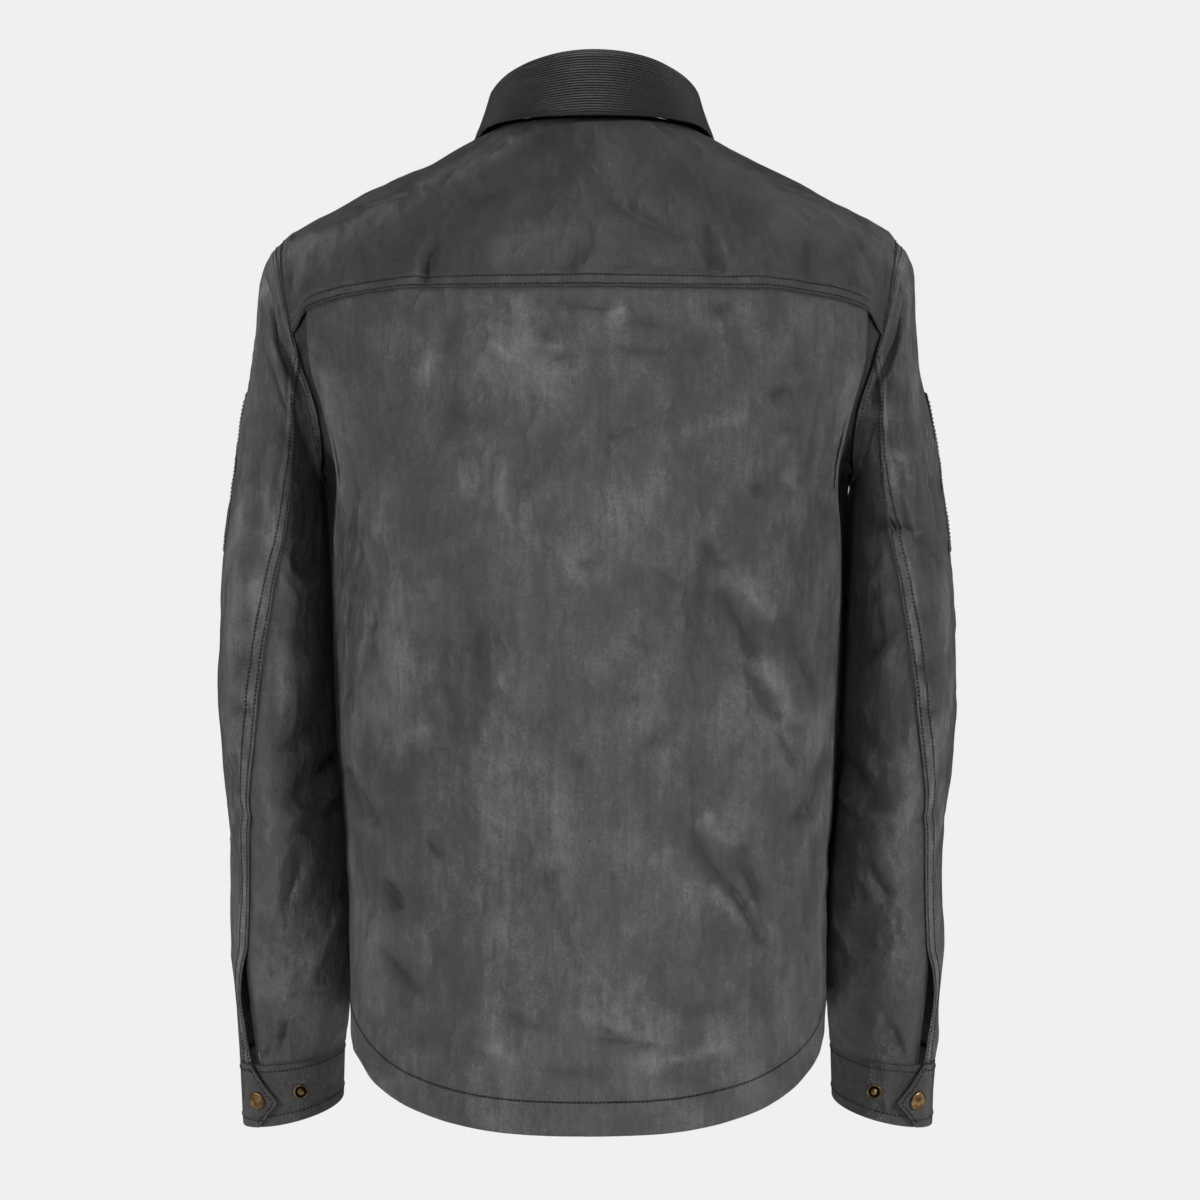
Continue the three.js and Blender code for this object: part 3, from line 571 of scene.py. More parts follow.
# How far the slit's two edges stand from the seam line, in degrees at each ring
SLIT_TOP = [[11.7, 0], [12.1, 8], [12.5, 15], [12.8, 16], [13.2, 13], [13.6, 10], [WRIST, 8]]
SLIT_UNDER = [[11.7, 0], [12.5, 2.5], [13, 4.4], [13.6, 5.3], [WRIST, 5.4]]


def top_sleeve_lines(u, v):
    ring = mix(WRIST, 0, v)
    return mix(line_at(INNER_SEAM, ring) - 360, line_at(BACK_SEAM, ring) - line_at(SLIT_TOP, ring), u), ring


def under_sleeve_lines(u, v):
    ring = mix(WRIST, 0, v)
    return mix(line_at(BACK_SEAM, ring) + line_at(SLIT_UNDER, ring), line_at(INNER_SEAM, ring), u), ring


# Cuff
CUFF_START_DEG = 42
CUFF_TURN_DEG = 398
CUFF_PROUD = -0.6
CUFF_LAP = BAND + 0.8
CUFF_TIGHT = 1.5
CUFF_LEAN_DEG = 11
CUFF_AXIS = np.array([0, -math.sin(math.radians(CUFF_LEAN_DEG)), -math.cos(math.radians(CUFF_LEAN_DEG))])
CUFF_END = ([0, 0.62, 1], [0.921, 1, 0.94])


def cuff_point(u, v):
    clip = 1 - np.interp(v, *CUFF_END)
    turned = u * (1 - clip * np.maximum(0, (u - 0.8) / 0.2)) * CUFF_TURN_DEG
    height = CUFF_HEIGHT + CUFF_OUTER_MORE * np.cos(np.radians(CUFF_START_DEG + turned))
    lap = CUFF_LAP * np.clip((turned - 325) / 30, 0, 1)
    point = on_sleeve_ring(SLEEVE[WRIST], CUFF_START_DEG + turned, CUFF_PROUD + lap - CUFF_TIGHT * v)
    return point + CUFF_AXIS * (0.4 + v * height)[..., None]


def cuff_place(u, v):
    return cuff_point(u, v), normal_of(cuff_point, np.clip(u, 0.004, 0.996), np.clip(v, 0.02, 0.98), 0.004, 0.02, -1)


PATCH_ANGLE = -6
PATCH_HALF_DEG = 20
PATCH_TOP = 3.55
PATCH_BOTTOM = 5.55
PATCH_LIFT = 1.2


def patch_place(u, v):
    angle = mix(PATCH_ANGLE - PATCH_HALF_DEG, PATCH_ANGLE + PATCH_HALF_DEG, u)
    return on_sleeve(angle, mix(PATCH_BOTTOM, PATCH_TOP, v), PATCH_LIFT)


ASKEW = 5
ASKEW_FROM_Z = -115
ASKEW_TO_Z = -45


def askew(z):
    share = np.clip((z - ASKEW_FROM_Z) / (ASKEW_TO_Z - ASKEW_FROM_Z), 0, 1)
    return -ASKEW * share * share * (3 - 2 * share)


# The finer creases, by place on the cloth. Body: x, z, to x, to z, wide, high, of the back.
YOKE_CREASES = [
    [114.7, -135, 109.1, -88, 3.5, -2.6],
    [121, -130, 116, -92, 4, 1.6],
    [-94.2, -120, -83.7, -82, 4, -2.4],
    [-101, -116, -91, -84, 4, 1.5],
    [-10.9, -66.5, -63.2, -93.3, 5, -2],
    [-27.9, -103.2, -44.1, -115.2, 4, -1.4],
    [-64.6, -20.6, -82.3, -34, 4, -1.4],
    [-156.4, -94, -156.4, -129, 5, -1.8],
    [60, -60, 96, -72, 6, -1.2],
    [20, -88, 74, -96, 6, 1],
]
BACK_CREASES = [
    [174.2, -467.4, 158, -505, 4, -2.2],
    [160.9, -482, 147, -509, 4, -1.8],
    [-170, -449.9, -158, -505, 4, -2.2],
    [-158, -485, -143, -510, 4, -1.8],
    [-127, -436, -151, -464, 4, -1.8],
    [-97, -543, -125, -590, 3.5, -2.6],
    [-107, -540, -133, -588, 4.5, 1.6],
    [-114, -535, -126, -580, 4, -1.6],
    [-33, -458, -64, -432, 5, -1.6],
    [149, -590, 118, -627, 4, -2],
    [143, -549, 132, -567, 4, -1.8],
    [-18, -170, -60, -176, 5, -1.5],
    [28, -480, 16, -560, 8, 1.1],
    [88, -330, 70, -430, 9, -1.2],
    [-86, -300, -74, -410, 9, -1.2],
    [40, -230, 120, -210, 8, -1],
    [-44, -236, -118, -216, 8, 1],
    [61, -640, 22, -650, 4, -1.4],
    [12, -636, -48, -655, 5, 1.5],
    [-8, -660, -66, -664, 4, -1.5],
    [-36, -676, -107, -660, 4, 1.4],
    [34, -676, -14, -682, 4, -1.3],
    [-70, -640, -110, -628, 4, -1.4],
    [84, -655, 48, -672, 4, 1.3],
    [-100, -320, -133, -362, 6, 2.2],
    [-93, -337, -122, -391, 6, -2.4],
    [-121, -382, -147, -435, 7, 2.2],
    [-110, -390, -135, -432, 5, -1.8],
    [-144, -372, -159, -410, 3, -1.6],
    [-116, -424, -142, -456, 6, 1.5],
    [-79, -306, -114, -337, 4, -1.4],
    [-82, -498, -107, -522, 6, 2.0],
    [-75, -507, -96, -547, 5, -2.4],
    [-86, -547, -117, -582, 6, 2.0],
    [-110, -522, -119, -561, 4, -1.6],
    [23, -139, -12, -144, 5, -2.2],
    [-12, -155, -30, -144, 5, 1.8],
    [-30, -152, -58, -157, 6, -1.8],
    [-93, -148, -100, -138, 4, -1.8],
    [26, -180, 9, -177, 4, -1.6],
    [37, -169, 16, -172, 4, 1.2],
    [72, -166, 51, -181, 4, 1.3],
    [110, -172, 116, -197, 4, 1.2],
    [91, -246, 86, -278, 6, 1.3],
    [60, -246, 60, -295, 5, 1.6],
    [44, -270, 42, -298, 5, 1.1],
    [-16, -236, -31, -226, 4, -1.8],
    [-128, -204, -145, -197, 4, -1.6],
    [-135, -226, -156, -227, 4, -1.3],
    [-114, -274, -126, -267, 4, -1.6],
    [-61, -211, -66, -250, 8, -1.0],
    [5, -323, -7, -320, 3, -1.6],
    [16, -316, 4, -337, 4, 1.4],
    [-47, -326, -72, -340, 4, -1.6],
    [-30, -372, -47, -384, 3, -1.2],
    [-23, -419, -37, -416, 3, -1.6],
    [156, -368, 147, -363, 3, -1.5],
    [170, -337, 158, -339, 3, -1.2],
    [128, -446, 110, -437, 4, 1.4],
    [131, -354, 133, -418, 6, 0.9],
    [9, -452, -4, -475, 3, -1.3],
    [40, -547, 12, -533, 5, -1.3],
    [114, -516, 103, -528, 4, -1.4],
    [150, -545, 131, -564, 4, -1.6],
    [166, -508, 152, -589, 4, -1.4],
    [-166, -508, -156, -586, 4, -1.2],
    [187, -176, 174, -288, 6, 1.2],
    [-189, -169, -176, -288, 6, 1.2],
]


# Value noise on a seeded lattice, from -1 to 1
LATTICE = np.random.default_rng(7).uniform(-1, 1, (32, 32, 32))


def noise(points, scales, shift=0.0):
    at = points / np.array(scales) + shift
    cell = np.floor(at).astype(int)
    t = at - cell
    t = t * t * (3 - 2 * t)
    total = 0
    for corner in np.ndindex(2, 2, 2):
        weight = np.prod([t[..., k] if corner[k] else 1 - t[..., k] for k in range(3)], axis=0)
        x, y, z = (np.mod(cell[..., k] + corner[k], 32) for k in range(3))
        total = total + weight * LATTICE[x, y, z]
    return total


def crumple(points, amount=1.0):
    """The small dents and ridges of stiff waxed cloth."""
    broad = noise(points, (34, 34, 60), 3.1)
    soft = noise(points, (17, 17, 26), 11.3)
    ridge = 1 - 2 * np.abs(noise(points, (23, 23, 30), 19.7))
    fine = 1 - 2 * np.abs(noise(points, (9, 9, 11), 27.9))
    patchy = np.clip(0.5 + 0.9 * noise(points, (60, 60, 60), 5.5), 0.1, 1)
    return amount * (1.1 * broad + 0.6 * soft + patchy * (0.9 * ridge + 0.3 * fine))


# Mesh making
SIDES = {"left": 1, "right": -1}
EDGE_SHAPES = {
    # rows beyond an edge: how far out and how far down
    "tuck": [(1.6, -0.8), (4.5, -1.5)],
    "fold": [(0.5, -0.6), (0.6, -1.5), (-9, -2.3)],
    "hem": [(0.4, -0.5), (0.4, -1.7), (-22, -2.4)],
    "lap": [],
    "flat": [],
    "open": [],
}
EDGES = ("start", "end", "bottom", "top")


def lengths(points, axis):
    """How far along the cloth each point is from the grid's first and last edge."""
    run = np.linalg.norm(np.diff(points, axis=axis), axis=-1)
    first = np.insert(np.cumsum(run, axis=axis), 0, 0, axis=axis)
    return first, np.take(first, [-1], axis=axis) - first


def extend(grids, axis, last, shape):
    """Adds rows beyond an edge of the grid, for a tucked, folded or turned edge."""
    points, normals, *marks = grids
    edge = [points.shape[axis] - 1] if last else [0]
    inner = [points.shape[axis] - 2] if last else [1]
    border = np.take(points, edge, axis=axis)
    way = border - np.take(points, inner, axis=axis)
    way = way / np.linalg.norm(way, axis=-1, keepdims=True)
    normal = np.take(normals, edge, axis=axis)
    rows = [border + way * out + normal * down for out, down in shape]
    if not last:
        rows = rows[::-1]

    def joined(grid, extra):
        return np.concatenate([grid, *extra] if last else [*extra, grid], axis=axis)

    copies = [[np.take(g, edge, axis=axis)] * len(shape) for g in (normals, *marks)]
    return [joined(points, rows)] + [joined(g, c) for g, c in zip((normals, *marks), copies)]


def stitch_line(points, normals, away, axis, distance, span):
    """A line on the cloth at a distance from one of its edges."""
    if axis == 1:
        points, normals, away = points.swapaxes(0, 1), normals.swapaxes(0, 1), away.swapaxes(0, 1)
    count = points.shape[1]
    line = []
    for j in range(int(span[0] * (count - 1)), int(round(span[1] * (count - 1))) + 1):
        order = np.argsort(away[:, j])
        near = away[order, j]
        row = [np.interp(distance, near, points[order, j, k]) for k in range(3)]
        row += [np.interp(distance, near, normals[order, j, k]) for k in range(3)]
        line.append(row)
    return np.array(line)


def add_stitches(bm, line):
    run = np.insert(np.cumsum(np.linalg.norm(np.diff(line[:, :3], axis=0), axis=1)), 0, 0)
    for at in np.arange(STITCH_PITCH / 2, run[-1] - STITCH_LONG / 2, STITCH_PITCH):
        spot, ahead = (Vector([np.interp(at + step, run, line[:, k]) for k in range(3)]) for step in (0, 0.8))
        up = Vector([np.interp(at, run, line[:, k]) for k in range(3, 6)]).normalized()
        along = (ahead - spot).normalized()
        side = up.cross(along).normalized()
        up = along.cross(side)
        spot = spot + up * STITCH_THICK * 0.2
        spot.x += float(askew(spot.z))
        turn = Matrix((along * STITCH_LONG / 2, side * STITCH_THICK / 2, up * STITCH_THICK / 2)).transposed()
        matrix = Matrix.Translation(spot * MM) @ (turn * MM).to_4x4()
        bmesh.ops.create_icosphere(bm, subdivisions=1, radius=1, matrix=matrix)


def new_object(name, bm, material, smooth=True):
    for face in bm.faces:
        face.smooth = smooth
    mesh = bpy.data.meshes.new(name)
    bm.to_mesh(mesh)
    bm.free()
    mesh.materials.append(material)
    made = bpy.data.objects.new(name, mesh)
    bpy.context.scene.collection.objects.link(made)
    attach(made, "root")
    return made


def cloth(name, place, counts, edges, side=1, rows=(), thick=CLOTH, detail=None, crumpled=1.0, held="stretched", **more):
    """One cut piece: a grid laid on its form, with its creases, its edges' laps, tucks and hems, and its stitches.

    edges gives the four edges' shapes; rows the stitched lines, each (edge, distance, from, to).
    """
    us, vs = (np.linspace(0, 1, n + 1) if isinstance(n, int) else n for n in counts)
    u, v = np.meshgrid(us, vs, indexing="ij")
    points, normals = place(u, v)
    if side < 0:
        points = points * [-1, 1, 1]
        normals = normals * [-1, 1, 1]
    plain = points.copy()
    away = dict(zip(EDGES, (*lengths(points, 0), *lengths(points, 1))))
    height = np.zeros_like(u)
    seam = np.full_like(u, 99.0)
    hem = np.full_like(u, 99.0)
    near = np.ones_like(u)
    under = np.full_like(u, 99.0)
    for edge, shape in zip(EDGES, edges):
        if shape == "lap":
            height += LAP_LIFT * np.clip((LAP_WIDE - away[edge]) / 3 + 1, 0, 1)
        if shape in ("lap", "flat"):
            seam = np.minimum(seam, away[edge] + (1.2 if shape == "flat" else 0))
        if shape == "tuck":
            under = np.minimum(under, away[edge])
        if shape == "hem":
            hem = away[edge]
            height += 0.45 * np.clip((HEM_ROW + 1 - away[edge]) / 3, 0, 1)
        if shape not in ("hem", "flat"):
            near = np.minimum(near, np.clip(away[edge] / 14, 0, 1))
    beside = np.clip(np.abs(np.abs(points[..., 0]) - 187) / 12, 0.1, 1)  # sleeve and side lie against each other
    fold = crumple(points, crumpled) * near * beside
    if detail is not None:
        fold = fold + detail(points, u, v) * np.clip(near * 4, 0, 1)
    pucker = noise(points, (5.5, 5.5, 5.5), 41.0) * 0.28 * np.exp(-((seam - 7) ** 2) / 60)
    pucker += noise(points, (7, 7, 30), 47.0) * 0.35 * np.clip(1.2 - hem / HEM_ROW, 0, 1)
    points = points + normals * (height + fold + pucker)[..., None]

    if rows:
        bm = bmesh.new()
        for edge, distance, start, end in rows:
            axis = 0 if edge in ("start", "end") else 1
            add_stitches(bm, stitch_line(points, normals, away[edge], axis, distance, (start, end)))
        new_object(f"thread_{name}", bm, THREAD)

    grids = [points, normals, seam, hem, fold + pucker, under, away["start"], away["bottom"]]
    for (axis, last), shape in zip(((0, False), (0, True), (1, False), (1, True)), edges):
        if EDGE_SHAPES[shape]:
            grids = extend(grids, axis, last, EDGE_SHAPES[shape])
    points, normals, seam, hem, crease_relief, under, across, along = grids
    points = points.copy()
    points[..., 0] += askew(points[..., 2])

    bm = bmesh.new()
    n, m = points.shape[0] - 1, points.shape[1] - 1
    bmesh.ops.create_grid(bm, x_segments=n, y_segments=m, size=1)
    i = np.round((np.array([vert.co.x for vert in bm.verts]) + 1) / 2 * n).astype(int)
    j = np.round((np.array([vert.co.y for vert in bm.verts]) + 1) / 2 * m).astype(int)
    middle = (n // 2, m // 2)
    turn = np.cross(
        points[middle[0] + 1, middle[1]] - points[middle], points[middle[0], middle[1] + 1] - points[middle]
    )
    if turn @ normals[middle] < 0:
        bmesh.ops.reverse_faces(bm, faces=bm.faces)
    made = new_object(f"sewn_{name}", bm, more.get("material") or WAXED)
    mesh = made.data
    mesh.vertices.foreach_set("co", (points[i, j] * MM).ravel())
    # the height of creases and puckers is kept too; the cloth's colour follows it, partly as rubbed wear and partly as
    # painted light and shade
    for key, grid in (("seam", seam), ("hem", hem), ("crease_relief", crease_relief), ("under", under)):
        mesh.attributes.new(key, "FLOAT", "POINT").data.foreach_set("value", grid[i, j])
    corner = np.empty(len(mesh.loops), int)
    mesh.loops.foreach_get("vertex_index", corner)
    flat = np.stack([across[i, j], along[i, j]], -1)[corner] * MM
    mesh.uv_layers.new(name="cloth").data.foreach_set("uv", flat.ravel())
    mesh.update()
    wall = made.modifiers.new("wall", "SOLIDIFY")
    wall.thickness = thick * MM
    wall.offset = -1
    wall.use_even_offset = False
    if more.get("round"):
        soft = made.modifiers.new("edge", "BEVEL")
        soft.width = more["round"] * MM
        soft.segments = 2
        soft.limit_method = "ANGLE"
        soft.angle_limit = math.radians(60)
    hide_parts(name)
    cells = np.linalg.norm(np.cross(np.diff(plain, axis=0)[:, :-1], np.diff(plain, axis=1)[:-1]), axis=-1)
    wide = float((away["start"] + away["end"]).max())
    long = float((away["bottom"] + away["top"]).max())
    area = float(cells.sum())
    SIZES[name] = [round(wide), round(long), round(area / 100)]
    return made


SIZES = {}


# Finishes
def linear(code):
    """An sRGB hex colour as linear RGBA."""
    parts = [int(code[k : k + 2], 16) / 255 for k in (0, 2, 4)]
    return tuple(p / 12.92 if p <= 0.04045 else ((p + 0.055) / 1.055) ** 2.4 for p in parts) + (1.0,)


def node(tree, kind, inputs=None, **settings):
    """Adds a node with its settings; an input is a number, a colour or another node's output."""
    made = tree.nodes.new(kind)
    for key, value in settings.items():
        setattr(made, key, value)
    for key, value in (inputs or {}).items():
        if isinstance(value, bpy.types.NodeSocket):
            tree.links.new(value, made.inputs[key])
        else:
            made.inputs[key].default_value = value
    return made


def material(name, **surface):
    """A new material with its shader's constants."""
    made = bpy.data.materials.new(name)
    made.use_nodes = True
    shader = made.node_tree.nodes["Principled BSDF"]
    for key, value in surface.items():
        shader.inputs[key.replace("_", " ")].default_value = value
    return made, made.node_tree, shader


def ramp(tree, value, stops):
    """A colour ramp of (place, hex colour) stops."""
    made = node(tree, "ShaderNodeValToRGB", {"Fac": value})
    band = made.color_ramp
    band.elements[0].position = stops[0][0]
    band.elements[0].color = linear(stops[0][1])
    band.elements[1].position = stops[-1][0]
    band.elements[1].color = linear(stops[-1][1])
    for place, colour in stops[1:-1]:
        band.elements.new(place).color = linear(colour)
    return made.outputs["Color"]


def spread(tree, value, low, high, to_low=0.0, to_high=1.0):
    inputs = {0: value, 1: low, 2: high, 3: to_low, 4: to_high}
    return node(tree, "ShaderNodeMapRange", inputs, clamp=True).outputs[0]


def sum_of(tree, operation, *values):
    total = values[0]
    for value in values[1:]:
        total = node(tree, "ShaderNodeMath", {0: total, 1: value}, operation=operation).outputs[0]
    return total


def pattern(tree, where, scale_mm, detail=2.0, stretch=(1, 1, 1), kind="ShaderNodeTexNoise", out=0, rough=0.5, **settings):
    """A texture whose pattern repeats about every scale_mm."""
    place = node(tree, "ShaderNodeMapping", {"Vector": where, "Scale": [1 / (scale_mm * MM * s) for s in stretch]})
    inputs = {"Vector": place.outputs[0], "Scale": 1.0}
    if kind == "ShaderNodeTexNoise":
        inputs.update({"Detail": detail, "Roughness": rough})
    return node(tree, kind, inputs, **settings).outputs[out]


def waxed_cotton(name, dark, middle, light):
    """Dry waxed cotton: a dense plain weave filled with wax. It gives a dull, patchy sheen. Its colour is paler on
    crease ridges and darker in crease troughs, partly rubbed wear and partly painted light and shade, with painted
    light and shade of puckers beside the seams and painted shade in deep creases, at tucked and lapped edges and in
    stitch grooves."""
    made, tree, shader = material(name, Sheen_Weight=0.04, Specular_IOR_Level=0.5)
    where = node(tree, "ShaderNodeTexCoord").outputs["Object"]
    cloth_uv = node(tree, "ShaderNodeUVMap", uv_map="cloth").outputs[0]
    crease_relief = node(tree, "ShaderNodeAttribute", attribute_name="crease_relief").outputs["Fac"]
    seam = node(tree, "ShaderNodeAttribute", attribute_name="seam").outputs["Fac"]
    hem = node(tree, "ShaderNodeAttribute", attribute_name="hem").outputs["Fac"]
    under = node(tree, "ShaderNodeAttribute", attribute_name="under").outputs["Fac"]
    cloudy = pattern(tree, where, 30, 5.0, (1, 1, 1.5), rough=0.62)
    streaky = pattern(tree, where, 4, 3.0, (1, 1, 8), rough=0.65)
    mottled = pattern(tree, where, 9, 4.0, (1, 1, 1.3), rough=0.65)
    # crease ridges paler and troughs darker: partly rubbed wear, partly painted light and shade
    rub_wear_and_painted_light = spread(tree, crease_relief, -2.0, 2.2)
    grain = pattern(tree, where, 1.8, 3.0, rough=0.75)
    # small light and dark patches beside the seams: painted light and shade of the puckers
    beside_seam = spread(tree, seam, 9.0, 15.0, 1.0, 0.0)
    puckered = sum_of(tree, "MULTIPLY", pattern(tree, where, 7, 1.0), beside_seam)
    tone = sum_of(
        tree,
        "ADD",
        sum_of(tree, "MULTIPLY", cloudy, 0.26),
        sum_of(tree, "MULTIPLY", streaky, 0.16),
        sum_of(tree, "MULTIPLY", mottled, 0.16),
        sum_of(tree, "MULTIPLY", grain, 0.26),
        sum_of(tree, "MULTIPLY", rub_wear_and_painted_light, 0.2),
        sum_of(tree, "MULTIPLY", puckered, 0.12),
    )
    colour = ramp(tree, tone, [(0.36, dark), (0.52, middle), (0.74, light)])
    # painted shade: dark where a crease is deep, where a piece goes under its neighbour, and just under a lapped edge
    painted_shade = sum_of(
        tree,
        "MAXIMUM",
        spread(tree, crease_relief, -4.2, -1.9, 0.8, 0.0),
        spread(tree, under, 0.4, 4.0, 0.9, 0.0),
        spread(tree, seam, 0.3, 1.1, 0.85, 0.0),
    )
    groove = sum_of(
        tree,
        "ADD",
        *(
            sum_of(
                tree,
                "SUBTRACT",
                spread(tree, edge, at - 0.9, at),
                spread(tree, edge, at, at + 0.9),
            )
            for edge, at in ((seam, STITCH_ROWS[0]), (seam, STITCH_ROWS[1]), (hem, HEM_ROW))
        ),
    )
    # the stitch grooves are darkened as well, as painted shade
    shade = node(
        tree,
        "ShaderNodeMix",
        {0: sum_of(tree, "MAXIMUM", sum_of(tree, "MULTIPLY", groove, 0.25), painted_shade), 6: colour, 7: linear("080808")},
        data_type="RGBA",
    ).outputs[2]
    tree.links.new(shade, shader.inputs["Base Color"])
    tree.links.new(spread(tree, sum_of(tree, "ADD", mottled, cloudy), 0.7, 1.3, 0.43, 0.27), shader.inputs["Roughness"])
    soft_dents = pattern(tree, where, 30, 2.0, (1, 1, 1.3), rough=0.45)
    crinkle = pattern(tree, where, 26, 2.0, (1, 1, 1.4), rough=0.45)
    sharp = sum_of(tree, "ABSOLUTE", node(tree, "ShaderNodeMath", {0: crinkle, 1: 0.5}, operation="SUBTRACT").outputs[0], 0)
    # threads 0.45 mm apart, drawn 0.9 mm apart so that they show
    warp = pattern(tree, cloth_uv, 0.9, kind="ShaderNodeTexWave", out=1, bands_direction="X")
    weft = pattern(tree, cloth_uv, 0.9, kind="ShaderNodeTexWave", out=1, bands_direction="Y")
    height = sum_of(
        tree,
        "ADD",
        sum_of(tree, "MULTIPLY", sharp, -1.9),
        sum_of(tree, "MULTIPLY", soft_dents, 1.5),
        sum_of(tree, "MULTIPLY", mottled, 0.42),
        sum_of(tree, "MULTIPLY", streaky, 0.11),
        sum_of(tree, "MULTIPLY", grain, 0.04),
        sum_of(tree, "MULTIPLY", puckered, 0.35),
        sum_of(tree, "MULTIPLY", warp, 0.015),
        sum_of(tree, "MULTIPLY", weft, 0.015),
        sum_of(tree, "MULTIPLY", groove, -0.2),
    )
    bump = node(tree, "ShaderNodeBump", {"Height": height, "Strength": 1.0, "Distance": 0.0045})
    tree.links.new(bump.outputs[0], shader.inputs["Normal"])
    return made


def corduroy_cloth():
    """Fine black cotton corduroy: cut pile in wales about 2 mm apart, very matt, with a soft sheen at its edges."""
    made, tree, shader = material(
        "fine_cut_corduroy", Roughness=0.95, Specular_IOR_Level=0.15, Sheen_Weight=0.1, Sheen_Roughness=0.4
    )
    where = node(tree, "ShaderNodeTexCoord").outputs["Object"]
    cloth_uv = node(tree, "ShaderNodeUVMap", uv_map="cloth").outputs[0]
    pile = pattern(tree, where, 1.2, 3.0)
    cloudy = pattern(tree, where, 22, 3.0)
    wale = pattern(tree, cloth_uv, 2.0 * 1.0, kind="ShaderNodeTexWave", out=1, bands_direction="Y")
    tone = sum_of(
        tree, "ADD", sum_of(tree, "MULTIPLY", pile, 0.35), sum_of(tree, "MULTIPLY", cloudy, 0.35), sum_of(tree, "MULTIPLY", wale, 0.5)
    )
    tree.links.new(ramp(tree, tone, [(0.3, "050505"), (0.62, "121212"), (0.95, "2a2a2a")]), shader.inputs["Base Color"])
    height = sum_of(tree, "ADD", pile, wale)
    bump = node(tree, "ShaderNodeBump", {"Height": height, "Strength": 0.8, "Distance": 0.0006})
    tree.links.new(bump.outputs[0], shader.inputs["Normal"])
    return made


def sewing_thread():
    """Twisted polyester thread, near black, with a slight shine."""
    made, tree, shader = material("twisted_sewing_thread", Roughness=0.8, Specular_IOR_Level=0.08)
    where = node(tree, "ShaderNodeTexCoord").outputs["Object"]
    tone = pattern(tree, where, 6, 2.0)
    tree.links.new(ramp(tree, tone, [(0.3, "080808"), (0.7, "161616")]), shader.inputs["Base Color"])
    return made


def aged_brass():
    """Pressed brass with an antique finish: warm brown where it has tarnished, brighter on its rubbed rims."""
    made, tree, shader = material("antique_pressed_brass", Metallic=1.0)
    where = node(tree, "ShaderNodeTexCoord").outputs["Object"]
    tarnish = pattern(tree, where, 4, 4.0)
    fine = pattern(tree, where, 0.9, 3.0)
    tone = sum_of(tree, "ADD", sum_of(tree, "MULTIPLY", tarnish, 0.7), sum_of(tree, "MULTIPLY", fine, 0.3))
    tree.links.new(ramp(tree, tone, [(0.35, "33291b"), (0.52, "6b5637"), (0.72, "a58e63")]), shader.inputs["Base Color"])
    tree.links.new(spread(tree, tone, 0.35, 0.7, 0.45, 0.26), shader.inputs["Roughness"])
    bump = node(tree, "ShaderNodeBump", {"Height": fine, "Strength": 0.2, "Distance": 0.0001})
    tree.links.new(bump.outputs[0], shader.inputs["Normal"])
    return made


WAXED = waxed_cotton("dry_waxed_cotton", "101010", "2d2d2d", "606060")
# a darker copy of the waxed cotton, for the yoke and the cuffs
YOKE_WAXED = waxed_cotton("darker_dry_waxed_cotton", "0f0e0e", "21201f", "3d3c3b")
# a darker copy of the waxed cotton for the pleat inlays: painted shade, for the shadow deep inside the pleats
PLEAT_SHADE_WAXED = waxed_cotton("pleat_waxed_cotton_painted_shade", "080808", "141414", "262626")
CORDUROY = corduroy_cloth()
THREAD = sewing_thread()
BRASS = aged_brass()
TARNISHED = material("blackened_brass", Metallic=1.0, Base_Color=linear("17130d"), Roughness=0.6)[0]


# Body panels
CREASE_DEEP = 1.6  # the finer creases are pressed this much deeper than their tables say


def back_detail(points, u, v):
    return CREASE_DEEP * crease_height(BACK_CREASES, points[..., 0], points[..., 2])


def yoke_detail(points, u, v):
    behind = points[..., 1] > 0
    return CREASE_DEEP * np.where(behind, crease_height(YOKE_CREASES, points[..., 0], points[..., 2]), 0)


TWO = STITCH_ROWS
HALF_YOKE = [np.linspace(a, b, n, endpoint=False) for a, b, n in ((0, 0.1, 14), (0.1, 0.27, 36), (0.27, 0.5, 100))]
HALF_YOKE = np.concatenate(HALF_YOKE)
YOKE_STEPS = np.concatenate([HALF_YOKE, [0.5], 1 - HALF_YOKE[::-1]])
cloth("back_panel", back_place, (185, 245), ("fold", "fold", "hem", "tuck"), detail=back_detail, rows=[("bottom", HEM_ROW, 0, 1)])
cloth(
    "back_yoke",
    yoke_place,
    (YOKE_STEPS, 80),
    ("tuck", "tuck", "lap", "tuck"),
    detail=yoke_detail,
    material=YOKE_WAXED,
    rows=[("bottom", TWO[0], 0.27, 0.73), ("bottom", TWO[1], 0.27, 0.73), ("bottom", TWO[0], 0.002, 0.098), ("bottom", TWO[0], 0.902, 0.998)],
)
cloth("front_placket", placket_place, (14, 150), ("lap", "lap", "hem", "open"), thick=1.6, rows=[("start", TWO[0], 0, 1), ("end", TWO[0], 0, 1)])

for side_name, side in SIDES.items():
    cloth(
        f"front_{side_name}",
        front_place,
        (75, 140),
        ("open", "tuck", "hem", "tuck"),
        side=side,
        rows=[("bottom", HEM_ROW, 0, 1)],
    )
    cloth(
        f"pleat_inlay_{side_name}",
        inlay_place,
        (20, 130),
        ("tuck", "open", "open", "tuck"),
        side=side,
        crumpled=0.6,
        material=PLEAT_SHADE_WAXED,
    )
    cloth(
        f"arm_patch_{side_name}",
        patch_place,
        (26, 40),
        ("flat",) * 4,
        side=side,
        thick=0.8,
        rows=[(edge, TWO[0], 0.04, 0.96) for edge in EDGES],
    )


